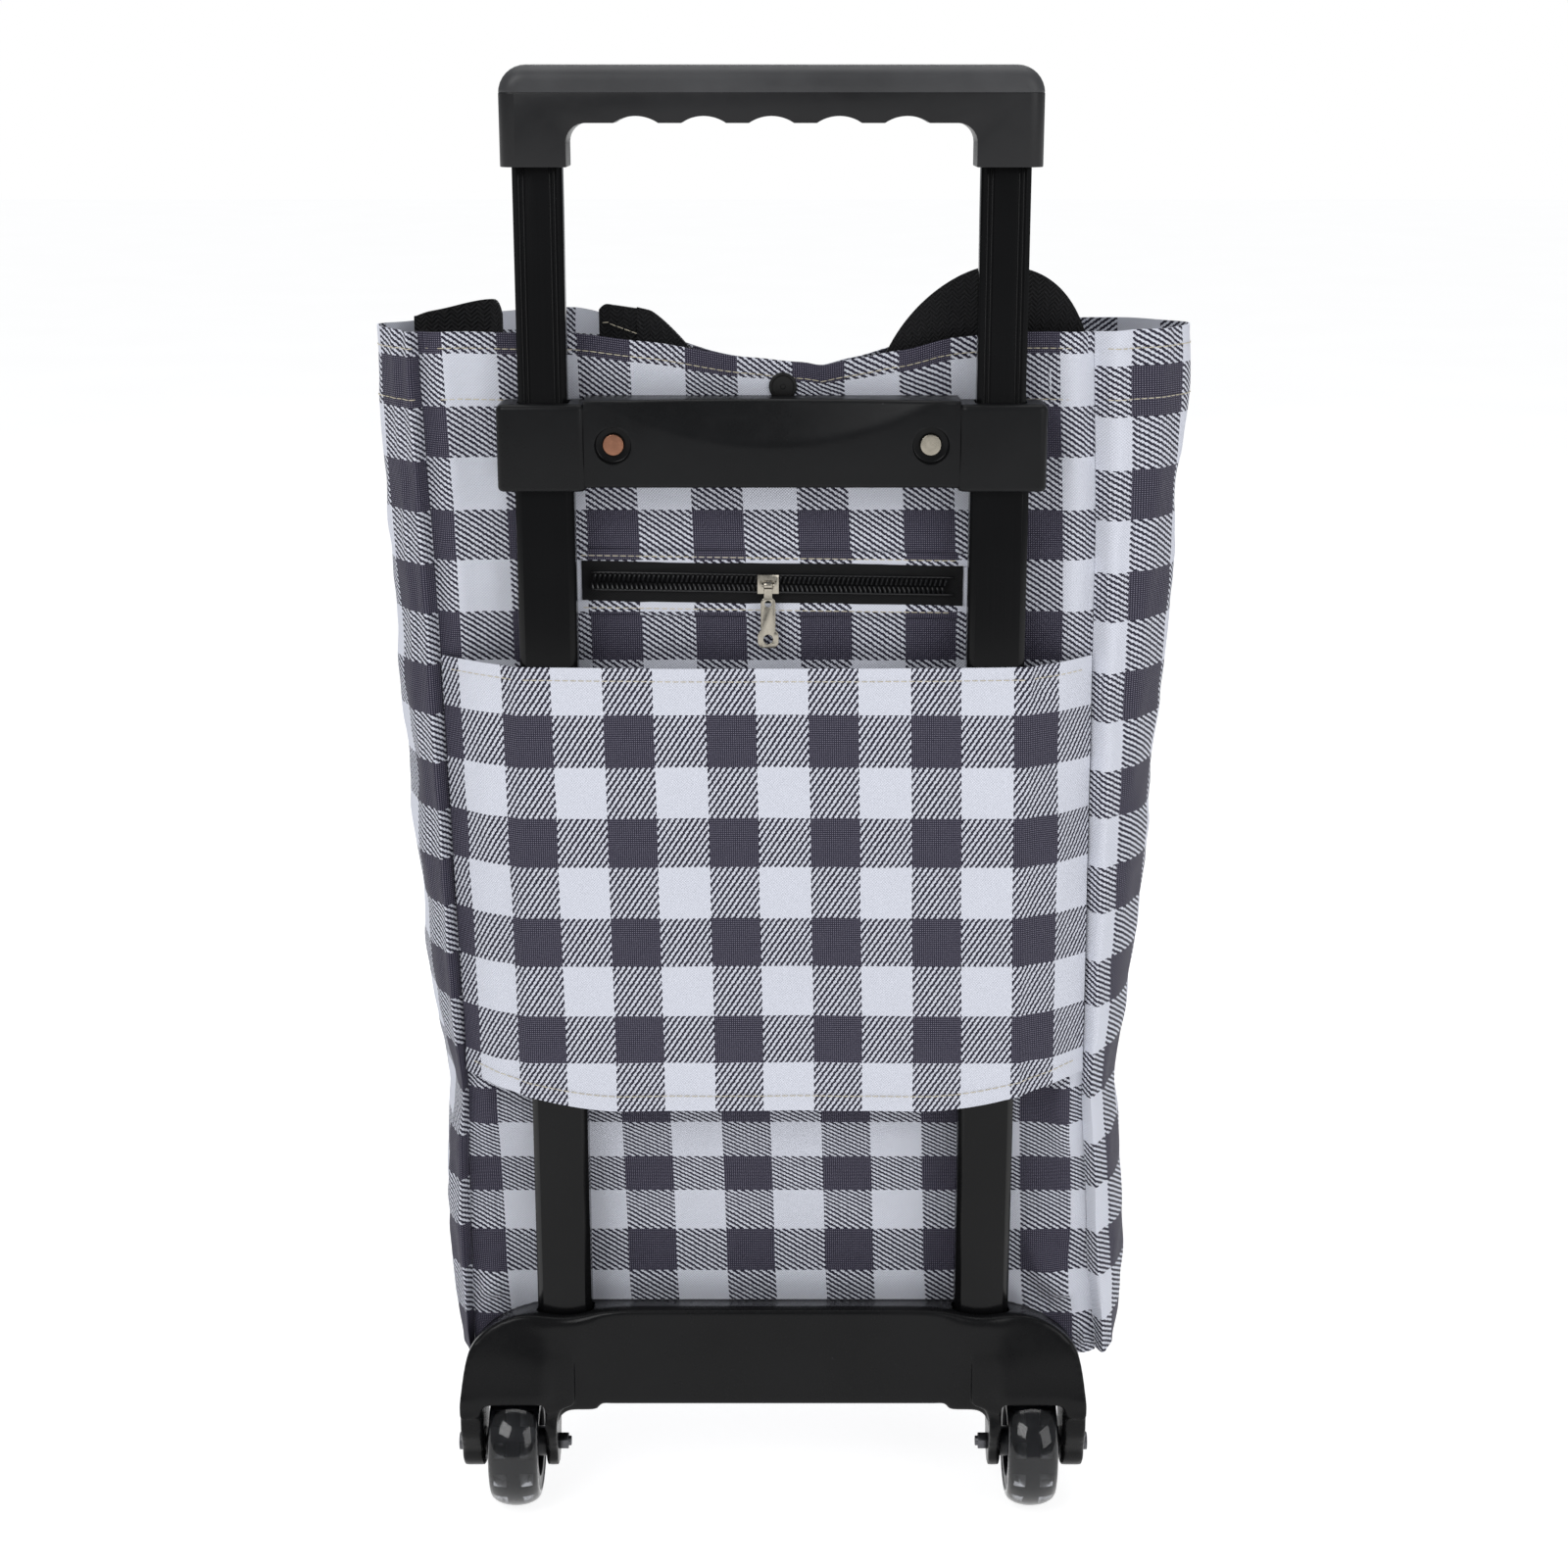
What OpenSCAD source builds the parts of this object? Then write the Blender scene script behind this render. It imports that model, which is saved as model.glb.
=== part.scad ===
// Folding shopping trolley: telescopic handle, riveted crossbar, wheeled base beam,
// fold-up stand and a gingham cloth bag with a zip pouch. Millimetres, +Z up,
// origin on the floor under the middle of the bounding box. The puller's side faces -Y.

/* [Handle] */
// Height of the grip's top above the floor, handle part way out
grip_top = 709; // [700:1:720]
// Width over the grip
grip_w = 242; // [240:1:246]
// Height of the grip bar, its top to its underside
grip_bar_h = 25; // [22:1:28]
// Distance from the grip's top to the bottom of its sockets
grip_leg_h = 44; // [42:1:48]
// Width of the inner tubes
inner_w = 22.5; // [22:0.1:23]
// Depth of the inner tubes
inner_d = 12; // [11.6:0.1:12.4]
// Length of the inner tubes
inner_len = 430; // [400:5:450]

/* [Frame] */
// Distance between the two tubes, centre to centre
tube_gap = 210; // [208:1:212]
// Width of the outer tubes
outer_w = 27; // [26.6:0.1:27.4]
// Depth of the outer tubes
outer_d = 16; // [15.8:0.1:16.4]
// Wall of all four tubes
tube_wall = 1.2; // [1:0.1:1.3]
// Height of the collars' top above the floor
collar_top = 560; // [556:1:562]
// Height of a collar
collar_h = 40; // [36:1:42]

/* [Base] */
// Width of the base beam
beam_w = 315; // [312:1:318]
// Height of the base beam
beam_h = 50; // [48:1:52]
// Height of the beam's underside above the floor
beam_z = 52; // [51:1:53]
// Wheel diameter
wheel_dia = 64; // [62:1:64]
// Wheel width
wheel_w = 25; // [22:1:26]
// Distance from the middle of the trolley to the middle of a wheel
wheel_x = 130.5; // [130:0.1:131]
// Diameter of the wheel bolts
axle_dia = 5; // [4:0.5:6]

/* [Stand] */
// Height of the stand's hinge line above the floor
hinge_z = 64; // [63:0.5:64]
// Distance of the hinge line in front of the tubes' centre plane
hinge_y = 30; // [30:0.5:31]
// Diameter of the stand's steel rod
rod_dia = 6; // [5:0.5:6]
// Reach of the stand's feet in front of the tubes' centre plane
foot_y = 140; // [130:1:145]

/* [Bag] */
// Width between the bag's back seams
bag_w = 308; // [300:1:312]
// Depth of the bag at its floor
bag_depth = 155; // [140:1:160]
// Height of the bag's top corners above the floor
bag_top = 594; // [590:1:598]
// Dip of the top edge at the snap button
mouth_dip = 19; // [10:1:22]
// Thickness of the cloth solids
cloth_t = 1.5; // [1.2:0.1:1.8]
// Sideways bulge of the gussets at the mouth
mouth_bulge = 44; // [30:1:46]
// Sideways bulge of the gussets at the floor
floor_bulge = 20; // [10:1:24]

/* [Hidden] */
$fn = 48;
tube_x = tube_gap / 2;
wheel_r = wheel_dia / 2;
axle_r = axle_dia / 2;
axle_y = -8;
cloth_y = 12.5;                              // outer face of the bag's back panel
bag_front = cloth_y + bag_depth;
front_bulge = 8;
front_reach = bag_front + front_bulge;
rear_reach = wheel_r - axle_y;
tube_y = (rear_reach - front_reach) / 2;     // puts the origin under the box's middle
grip_r = 11;
grip_split = grip_top - 12;
grip_under = grip_top - grip_bar_h;
socket_z = grip_top - grip_leg_h;
grip_leg_w = 30;
grip_front = -15;
grip_back = 11.5;
inner_top = grip_under + 6;
inner_bottom = inner_top - inner_len;
outer_bottom = beam_z + 8;
outer_top = collar_top - 4;
collar_w = 41;
collar_front = -13;
frame_back = 12.3;
bar_front = -10;
bar_top = collar_top + 1.5;
bar_bottom = collar_top - collar_h + 1.5;
rivet_x = 72.8;
rivet_z = collar_top - 19;
plate_t = 1.5;
plate_y = cloth_y + cloth_t;
beam_top = beam_z + beam_h;
beam_front = -14;
housing_front = -33;
housing_x = 100;
fork_in = 109;
fork_gap_in = 115;
fork_gap_out = 146;
fork_r = 12;
bag_floor = 70.3;
back_panel_z = 71;
seam_gap = 2.5;
snap_x = 5;
snap_z = 568.5;
snap_r = 6.5;
zip_z = 473;
zip_half = 90;
bore_slack = 0.05;

function lerp(a, b, t) = a + (b - a) * t;
function ease(t) = t <= 0 ? 0 : t >= 1 ? 1 : t * t * (3 - 2 * t);
function top_edge(x) = bag_top - (abs(x) < 95 ? mouth_dip * pow(cos(90 * x / 95), 2) : 0);

// everything is drawn with the tubes' centre plane at Y = 0 and moved once
module placed() {
    translate([0, tube_y, 0]) children();
}

// side is -1 for the left-hand piece and 1 for the right-hand one
module at_side(side) {
    translate([side * tube_x, 0, 0]) children();
}

module chamfered(w, d, c) {
    polygon([
        [-w / 2 + c, -d / 2], [w / 2 - c, -d / 2], [w / 2, -d / 2 + c], [w / 2, d / 2 - c],
        [w / 2 - c, d / 2], [-w / 2 + c, d / 2], [-w / 2, d / 2 - c], [-w / 2, -d / 2 + c]
    ]);
}

module rounded(w, d, r) {
    square([w - 2 * r, d], center = true);
    square([w, d - 2 * r], center = true);
    for (x = [-1, 1], y = [-1, 1])
        translate([x * (w / 2 - r), y * (d / 2 - r)]) circle(r);
}

module column(z0, z1) {
    translate([0, 0, z0]) linear_extrude(z1 - z0) children();
}

// an outline in X and Z, pushed through from y0 to y1
module through_y(y0, y1) {
    translate([0, y1, 0]) rotate([90, 0, 0]) linear_extrude(y1 - y0) children();
}

// an outline in Y and Z, pushed through from x0 to x1
module through_x(x0, x1) {
    translate([x0, 0, 0]) rotate([90, 0, 90]) linear_extrude(x1 - x0) children();
}

module pin_y(x, z, r, y0, y1) {
    translate([x, y1, z]) rotate([90, 0, 0]) cylinder(r = r, h = y1 - y0);
}

module pin_x(y, z, r, x0, x1) {
    translate([x0, y, z]) rotate([0, 90, 0]) cylinder(r = r, h = x1 - x0);
}

// ---- handle ----

module grip_outline() {
    finger_pitch = 30;
    finger_r = 18;
    finger_depth = 3;
    difference() {
        union() {
            translate([0, (grip_top + socket_z) / 2])
                rounded(grip_w, grip_top - socket_z, grip_r);
            for (side = [-1, 1])
                translate([side * (grip_w - grip_leg_w) / 2, socket_z + grip_r])
                    square([grip_leg_w, 2 * grip_r], center = true);
        }
        translate([0, grip_under - 50])
            rounded(grip_w - 2 * grip_leg_w, 100, 7);
        for (i = [-2:2])
            translate([i * finger_pitch, grip_under - finger_r + finger_depth])
                circle(finger_r);
    }
}

module grip_side() {
    r = 9;
    translate([(grip_front + grip_back) / 2, (grip_top + socket_z) / 2])
        difference() {
            square([grip_back - grip_front, grip_top - socket_z], center = true);
            for (s = [-1, 1])
                translate([s * (grip_back - grip_front) / 2, (grip_top - socket_z) / 2])
                    difference() {
                        square(2 * r, center = true);
                        translate([-s * r, -r]) circle(r);
                    }
        }
}

module grip_solid() {
    intersection() {
        through_y(grip_front, grip_back) grip_outline();
        through_x(-grip_w / 2, grip_w / 2) grip_side();
    }
}

module grip_cavity() {
    translate([-88, grip_front + 4, grip_under + 6])
        cube([176, grip_back - grip_front - 8, grip_bar_h - 10]);
}

module grip_lower() color([0.11, 0.11, 0.12]) placed() {
    difference() {
        grip_solid();
        grip_cavity();
        translate([0, 0, grip_split + 25]) cube([grip_w + 2, 60, 50], center = true);
        for (side = [-1, 1]) {
            at_side(side) column(socket_z - 1, inner_top) chamfered(inner_w, inner_d, 2);
            pin_y(side * tube_x, socket_z + 10, 2.05, 0, grip_back + 1);
            pin_y(side * tube_x, socket_z + 10, 4, grip_back - 2.4, grip_back + 1);
        }
    }
}

module grip_upper() color([0.22, 0.22, 0.23]) placed() {
    difference() {
        grip_solid();
        grip_cavity();
        translate([0, 0, grip_split - 50]) cube([grip_w + 2, 60, 100], center = true);
    }
}

module grip_screws() color([0.5, 0.5, 0.52]) placed() {
    for (side = [-1, 1]) {
        pin_y(side * tube_x, socket_z + 10, 2, 3, grip_back - 1);
        pin_y(side * tube_x, socket_z + 10, 3.8, grip_back - 2.3, grip_back - 0.3);
    }
}

module inner_profile() {
    flute_r = 0.7;
    difference() {
        chamfered(inner_w, inner_d, 2);
        chamfered(inner_w - 2 * tube_wall - 0.6, inner_d - 2 * tube_wall, 1);
        for (x = [-8, -6, 6, 8], y = [-1, 1])
            translate([x, y * (inner_d / 2 + 0.2)]) circle(flute_r);
    }
}

module inner_tube(side) color([0.03, 0.03, 0.035]) placed() {
    difference() {
        at_side(side) column(inner_bottom, inner_top) inner_profile();
        pin_y(side * tube_x, socket_z + 10, 2.05, 0, inner_d);
    }
}

module tube_shoe(side) color([0.75, 0.75, 0.72]) placed() at_side(side) {
    shoe_h = 9;
    cavity_w = outer_w - 2 * tube_wall;
    cavity_d = outer_d - 2 * tube_wall;
    difference() {
        union() {
            column(inner_bottom, inner_bottom + 14)
                chamfered(inner_w - 2 * tube_wall - 0.7, inner_d - 2 * tube_wall - 0.1, 1);
            column(inner_bottom - shoe_h, inner_bottom)
                chamfered(cavity_w - 0.2, cavity_d - 0.2, 2.6);
        }
        translate([0, cavity_d / 2, inner_bottom - shoe_h / 2])
            cube([12.4, 3.6, shoe_h + 2], center = true);
    }
}

// a bowed strip in the shoe's recess, its crown against the outer tube's wall
module shoe_spring(side) color([0.6, 0.6, 0.6]) placed() at_side(side) {
    crown = outer_d / 2 - tube_wall - 0.05;
    bow_r = 20;
    strip = 0.4;
    translate([0, crown - bow_r, inner_bottom - 8])
        linear_extrude(7)
            intersection() {
                difference() {
                    circle(bow_r, $fn = 96);
                    circle(bow_r - strip, $fn = 96);
                }
                translate([0, bow_r]) square([11.6, 6], center = true);
            }
}

// ---- frame ----

module outer_tube(side) color([0.03, 0.03, 0.035]) placed() at_side(side) {
    difference() {
        column(outer_bottom, outer_top)
            difference() {
                chamfered(outer_w, outer_d, 3);
                chamfered(outer_w - 2 * tube_wall, outer_d - 2 * tube_wall, 2.4);
            }
        pin_y(0, outer_bottom + 12, 2.05, 0, outer_d);
    }
}

module guide_bush(side) color([0.08, 0.08, 0.08]) placed() at_side(side) {
    difference() {
        union() {
            column(outer_top - 20, outer_top)
                chamfered(outer_w - 2 * tube_wall, outer_d - 2 * tube_wall, 2.4);
            column(outer_top, outer_top + 2) chamfered(outer_w, outer_d, 3);
        }
        column(outer_top - 21, outer_top + 3)
            chamfered(inner_w + 2 * bore_slack, inner_d + 2 * bore_slack, 2);
    }
}

module crossbar() color([0.13, 0.13, 0.14]) placed() {
    difference() {
        union() {
            for (side = [-1, 1])
                translate([side * 105.5, (collar_front + frame_back) / 2, collar_top - collar_h])
                    linear_extrude(collar_h)
                        rounded(collar_w, frame_back - collar_front, 4);
            translate([-86, bar_front, bar_bottom])
                cube([172, frame_back - bar_front, bar_top - bar_bottom]);
        }
        for (side = [-1, 1]) {
            at_side(side) column(collar_top - collar_h - 1, outer_top + 2)
                chamfered(outer_w, outer_d, 3);
            at_side(side) column(outer_top, collar_top + 1)
                chamfered(inner_w + 1.2, inner_d + 1.2, 2);
            pin_y(side * rivet_x, rivet_z, 8.5, bar_front - 1, bar_front + 4);
            pin_y(side * rivet_x, rivet_z, 2.5, bar_front, frame_back + 1);
        }
        translate([-60, bar_front + 3, bar_bottom + 3])
            cube([120, frame_back - bar_front, bar_top - bar_bottom - 6]);
    }
}

module crossbar_backing_plate() color([0.55, 0.55, 0.56]) placed() {
    difference() {
        translate([-90, plate_y, rivet_z - 10]) cube([180, plate_t, 20]);
        for (side = [-1, 1])
            pin_y(side * rivet_x, rivet_z, 2.5, plate_y - 1, plate_y + plate_t + 1);
    }
}

module rivet(side) placed() {
    pin_y(side * rivet_x, rivet_z, 2.45, bar_front + 2, plate_y + plate_t + 1.2);
    pin_y(side * rivet_x, rivet_z, 5, bar_front + 2, bar_front + 4);
    pin_y(side * rivet_x, rivet_z, 4.5, plate_y + plate_t, plate_y + plate_t + 1.2);
}

// ---- base beam and wheels ----

module beam_outline() {
    corner_r = 48;
    difference() {
        union() {
            translate([-(beam_w / 2 - corner_r), beam_z])
                square([beam_w - 2 * corner_r, beam_h]);
            for (side = [-1, 1])
                translate([side * (beam_w / 2 - corner_r), beam_top - corner_r])
                    circle(corner_r, $fn = 96);
            for (side = [-1, 1])
                translate([side * (beam_w / 2 - corner_r / 2), beam_z + 3])
                    square([corner_r, 6], center = true);
        }
        translate([-beam_w, beam_z - 100]) square([2 * beam_w, 100]);
    }
}

module middle_side() {
    polygon([
        [frame_back, beam_z], [frame_back, beam_top], [beam_front + 4, beam_top],
        [beam_front, beam_top - 3], [beam_front - 4, beam_z + 3], [beam_front - 2, beam_z]
    ]);
}

module housing_side() {
    polygon([
        [frame_back, beam_z], [frame_back, beam_top], [beam_front + 4, beam_top],
        [beam_front, beam_top - 3], [housing_front + 6, beam_z + 20],
        [housing_front, beam_z + 8], [housing_front, beam_z]
    ]);
}

module fork_leg(x0, x1) {
    through_x(x0, x1) {
        translate([axle_y, wheel_r]) circle(fork_r);
        polygon([
            [axle_y - fork_r + 0.4, wheel_r], [axle_y + fork_r - 0.4, wheel_r],
            [frame_back, beam_z + 4], [housing_front + 3, beam_z + 4]
        ]);
    }
}

module beam_blank() {
    intersection() {
        through_y(-60, 30) beam_outline();
        union() {
            through_x(-housing_x, housing_x) middle_side();
            for (side = [-1, 1])
                through_x(side > 0 ? housing_x : -beam_w / 2, side > 0 ? beam_w / 2 : -housing_x)
                    housing_side();
        }
    }
    for (side = [-1, 1]) {
        translate([side * tube_x, (beam_front - 3 + frame_back) / 2, beam_z - 4])
            linear_extrude(beam_h - 2) rounded(34, frame_back - beam_front + 3, 5);
        fork_leg(side > 0 ? fork_in : -fork_gap_in, side > 0 ? fork_gap_in : -fork_in);
        fork_leg(side > 0 ? fork_gap_out : -beam_w / 2, side > 0 ? beam_w / 2 : -fork_gap_out);
    }
}

clamp_xs = [-70, 0, 70];
clamp_z = beam_top - 10;
cover_xs = [-60, -20, 20, 60];
cover_z = beam_z + 12;

module base_beam() color([0.09, 0.09, 0.095]) placed() {
    wall = 3;
    difference() {
        beam_blank();
        // hollow middle, closed from behind by the cover
        difference() {
            translate([-84, beam_front + wall, beam_z + wall])
                cube([168, frame_back - beam_front, beam_h - 2 * wall]);
            for (x = cover_xs) pin_y(x, cover_z, 4.5, beam_front, frame_back - wall);
        }
        for (x = cover_xs) pin_y(x, cover_z, 1.5, beam_front + 10, frame_back);
        for (side = [-1, 1]) {
            at_side(side) column(outer_bottom, beam_top + 1) chamfered(outer_w, outer_d, 3);
            pin_y(side * tube_x, outer_bottom + 12, 2.05, 0, frame_back + 1);
            pin_y(side * tube_x, outer_bottom + 12, 4, frame_back - 2.4, frame_back + 1);
            // room over the wheel, open to the floor
            wheel_room(side);
        }
        pin_x(axle_y, wheel_r, axle_r, -beam_w, beam_w);
    }
}

module wheel_room(side) {
    gap = fork_gap_out - fork_gap_in;
    translate([side * (fork_gap_in + gap / 2), axle_y, wheel_r])
        rotate([0, 90, 0]) cylinder(r = wheel_r + 3, h = gap, center = true, $fn = 96);
    translate([side * (fork_gap_in + gap / 2), axle_y - 6, beam_z - 22])
        cube([gap, 80, 44], center = true);
}

module beam_rear_cover() color([0.09, 0.09, 0.095]) placed() {
    difference() {
        translate([-83.7, frame_back - 3, beam_z + 3.3]) cube([167.4, 3, beam_h - 6.6]);
        for (x = cover_xs) pin_y(x, cover_z, 1.6, 0, frame_back + 1);
        for (x = clamp_xs) pin_y(x, clamp_z, 1.5, 0, frame_back + 1);
        for (x = cover_xs) pin_y(x, cover_z, 3.1, frame_back - 1.6, frame_back + 1);
    }
}

module beam_cover_screws() color([0.5, 0.5, 0.52]) placed() {
    for (x = cover_xs) {
        pin_y(x, cover_z, 1.45, beam_front + 12, frame_back - 1);
        pin_y(x, cover_z, 3, frame_back - 1.5, frame_back - 0.1);
    }
}

// a plug in the foot of each outer tube, with the screw that holds tube and beam
module tube_foot_plugs() color([0.5, 0.5, 0.52]) placed() {
    for (side = [-1, 1]) {
        pin_y(side * tube_x, outer_bottom + 12, 2, -5, frame_back - 1);
        pin_y(side * tube_x, outer_bottom + 12, 3.8, frame_back - 2.3, frame_back - 0.3);
        at_side(side) column(outer_bottom + 0.5, outer_bottom + 24)
            chamfered(outer_w - 2 * tube_wall - 0.1, outer_d - 2 * tube_wall - 0.1, 2.5);
    }
}

module bag_clamp_plate() color([0.55, 0.55, 0.56]) placed() {
    difference() {
        translate([-85, plate_y, clamp_z - 7]) cube([170, plate_t, 14]);
        for (x = clamp_xs) pin_y(x, clamp_z, 1.6, plate_y - 1, plate_y + plate_t + 1);
    }
}

module bag_clamp_screws() color([0.5, 0.5, 0.52]) placed() {
    for (x = clamp_xs) {
        pin_y(x, clamp_z, 1.45, frame_back - 5, plate_y + plate_t);
        pin_y(x, clamp_z, 3, plate_y + plate_t, plate_y + plate_t + 1.6);
    }
}

module axle_bolt(side) color([0.55, 0.55, 0.56]) placed() mirror([side > 0 ? 0 : 1, 0, 0]) {
    head_h = 2.5;
    difference() {
        union() {
            pin_x(axle_y, wheel_r, axle_r - 0.02, fork_in - 6, beam_w / 2);
            pin_x(axle_y, wheel_r, 4.5, beam_w / 2, beam_w / 2 + head_h);
        }
        translate([beam_w / 2 + head_h, axle_y, wheel_r]) {
            cube([2, 5, 1], center = true);
            cube([2, 1, 5], center = true);
        }
    }
}

module axle_nut(side) color([0.55, 0.55, 0.56]) placed() mirror([side > 0 ? 0 : 1, 0, 0]) {
    difference() {
        translate([fork_in - 4.5, axle_y, wheel_r])
            rotate([0, 90, 0]) cylinder(r = 4.6, h = 4.5, $fn = 6);
        pin_x(axle_y, wheel_r, axle_r, fork_in - 5, fork_in + 1);
    }
}

rim_r = 24.5;

module hub_profile() {
    boss_half = (fork_gap_out - fork_gap_in) / 2 - 0.4;
    half = wheel_w / 2;
    translate([axle_r + 1.5, -boss_half]) square([3.5, 2 * boss_half]);
    translate([axle_r + 4, -2]) square([16, 4]);
    translate([rim_r - 3.5, -half + 0.5]) square([3.5, wheel_w - 1]);
    for (s = [-1, 1])
        translate([17.5, s > 0 ? half - 2.5 : -half + 0.5]) square([5, 2]);
}

module wheel_at(side) {
    translate([side * wheel_x, axle_y, wheel_r]) rotate([0, 90, 0]) children();
}

module wheel_hub(side) color([0.1, 0.1, 0.11]) placed() wheel_at(side) {
    windows = 10;
    difference() {
        rotate_extrude($fn = 96) hub_profile();
        for (i = [0:windows - 1])
            rotate([0, 0, i * 360 / windows])
                for (s = [-1, 1])
                    translate([22, 0, s * 5.8]) cube([8, 8, 5.6], center = true);
    }
}

module wheel_bush(side) color([0.8, 0.8, 0.76]) placed() wheel_at(side) {
    half = (fork_gap_out - fork_gap_in) / 2 - 0.3;
    difference() {
        cylinder(r = axle_r + 1.5, h = 2 * half, center = true);
        cylinder(r = axle_r + bore_slack, h = 2 * half + 2, center = true);
    }
}

module wheel_tyre(side) color([0.75, 0.77, 0.8, 0.4]) placed() wheel_at(side) {
    half = wheel_w / 2;
    edge_r = 6;
    rotate_extrude($fn = 96)
        intersection() {
            translate([rim_r, -half]) square([wheel_r - rim_r, wheel_w]);
            translate([wheel_r / 2, 0]) rounded(wheel_r, wheel_w, edge_r);
        }
}

// ---- fold-up stand ----

rod_r = rod_dia / 2;
pivot_r = rod_r - 0.25;
arm_x = 102;
bracket_x = 112;
foot_top = 20;

bend_r = 9;
front_rod_y = foot_y - 16;

module foot_rod(side) {
    translate([side * arm_x, foot_y, 4]) cylinder(r = rod_r, h = hinge_z - bend_r - 4);
}

// the arms run forward, turn down in a bend and end in the feet
module stand_frame() color([0.2, 0.2, 0.21]) placed() {
    for (side = [-1, 1]) {
        foot_rod(side);
        translate([side * arm_x, foot_y - bend_r, hinge_z - bend_r])
            rotate([90, 0, 90]) rotate_extrude(angle = 90) translate([bend_r, 0]) circle(rod_r);
        pin_y(side * arm_x, hinge_z, rod_r, hinge_y, foot_y - bend_r);
    }
    pin_x(front_rod_y, hinge_z, rod_r - 0.5, -arm_x, arm_x);
    pin_x(hinge_y, hinge_z, pivot_r, -bracket_x - 7, bracket_x + 7);
}

module stand_foot(side) color([0.05, 0.05, 0.05]) placed() {
    difference() {
        translate([side * arm_x, foot_y, 0]) cylinder(r1 = 8, r2 = 5.6, h = foot_top);
        foot_rod(side);
    }
}

module stand_bracket(side) color([0.09, 0.09, 0.095]) placed() {
    ear = 5;
    x0 = side * bracket_x - ear / 2;
    difference() {
        through_x(x0, x0 + ear) {
            translate([hinge_y, hinge_z]) circle(5.4);
            polygon([
                [frame_back, beam_z + 4], [frame_back, beam_z + 17],
                [hinge_y + 1, hinge_z + 4.5], [hinge_y + 1, hinge_z - 4.5]
            ]);
        }
        pin_x(hinge_y, hinge_z, pivot_r + bore_slack, x0 - 1, x0 + ear + 1);
    }
}

board_z = 72.6;
clip_y = 100;

module bottom_board() color([0.12, 0.12, 0.12]) placed() {
    near = hinge_y + 7;
    depth = bag_front - 8 - near;
    difference() {
        translate([0, near + depth / 2, board_z]) linear_extrude(3) rounded(288, depth, 12);
        for (side = [-1, 1])
            translate([side * arm_x, clip_y, board_z - 1]) cylinder(r = 2.5, h = 5);
    }
}

// saddle clips round the stand's arms, their posts up through cloth and board
module board_clips() color([0.08, 0.08, 0.08]) placed() {
    for (side = [-1, 1])
        translate([side * arm_x, clip_y, 0]) {
            difference() {
                translate([0, 0, hinge_z]) cube([12, 10, 10], center = true);
                translate([0, 20, hinge_z]) rotate([90, 0, 0]) cylinder(r = rod_r, h = 40);
            }
            translate([0, 0, hinge_z + 5]) cylinder(r = 2.45, h = board_z + 3 - hinge_z - 5);
            translate([0, 0, board_z + 3]) cylinder(r = 4.5, h = 1.2);
        }
}

// ---- bag ----

seam_x = bag_w / 2;
pinch_y = 18.5;
mouth_corner = [142, 92];
floor_corner = [150, bag_front];

function front_corner(s) = [
    lerp(floor_corner[0], mouth_corner[0], ease((s - 0.4) / 0.6)),
    lerp(floor_corner[1], mouth_corner[1], ease((s - 0.4) / 0.6))
];
function front_middle(s) = lerp(bag_front + front_bulge, pinch_y, ease((s - 0.55) / 0.45));
function front_point(t, s) = let(
    corner = front_corner(s),
    w = pow(cos(90 * t), 2)
) [t * corner[0], lerp(corner[1], front_middle(s), w)];
function side_bulge(s) = lerp(floor_bulge, mouth_bulge, s);
function side_point(t, s) = let(
    back = [seam_x, cloth_y + seam_gap],
    front = front_corner(s),
    middle = [seam_x + side_bulge(s), (back[1] + front[1]) / 2],
    pull = 2 * middle - (back + front) / 2
) (1 - t) * (1 - t) * back + 2 * t * (1 - t) * pull + t * t * front;

function inward(a, b, turn) = let(d = b - a) turn * cloth_t * [-d[1], d[0]] / norm(d);
function grid_point(p, z) = [p[0], p[1], z];

// closed shell from two equal grids of points, rows upwards and columns along the cloth
module cloth_shell(outer, inner) {
    rows = len(outer);
    cols = len(outer[0]);
    count = rows * cols;
    points = [for (g = [outer, inner], row = g, p = row) p];
    at = function(side, r, c) side * count + r * cols + c;
    faces = [
        for (r = [0:rows - 2], c = [0:cols - 2], f = [0, 1])
            f == 0 ? [at(0, r, c), at(0, r + 1, c), at(0, r + 1, c + 1)]
                   : [at(0, r, c), at(0, r + 1, c + 1), at(0, r, c + 1)],
        for (r = [0:rows - 2], c = [0:cols - 2], f = [0, 1])
            f == 0 ? [at(1, r, c), at(1, r + 1, c + 1), at(1, r + 1, c)]
                   : [at(1, r, c), at(1, r, c + 1), at(1, r + 1, c + 1)],
        for (c = [0:cols - 2], f = [0, 1])
            f == 0 ? [at(0, 0, c), at(0, 0, c + 1), at(1, 0, c + 1)]
                   : [at(0, 0, c), at(1, 0, c + 1), at(1, 0, c)],
        for (c = [0:cols - 2], f = [0, 1])
            f == 0 ? [at(0, rows - 1, c), at(1, rows - 1, c + 1), at(0, rows - 1, c + 1)]
                   : [at(0, rows - 1, c), at(1, rows - 1, c), at(1, rows - 1, c + 1)],
        for (r = [0:rows - 2], f = [0, 1])
            f == 0 ? [at(0, r, 0), at(1, r, 0), at(1, r + 1, 0)]
                   : [at(0, r, 0), at(1, r + 1, 0), at(0, r + 1, 0)],
        for (r = [0:rows - 2], f = [0, 1])
            f == 0 ? [at(0, r, cols - 1), at(0, r + 1, cols - 1), at(1, r + 1, cols - 1)]
                   : [at(0, r, cols - 1), at(1, r + 1, cols - 1), at(1, r, cols - 1)]
    ];
    polyhedron(points, faces);
}

shell_rows = 12;

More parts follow.
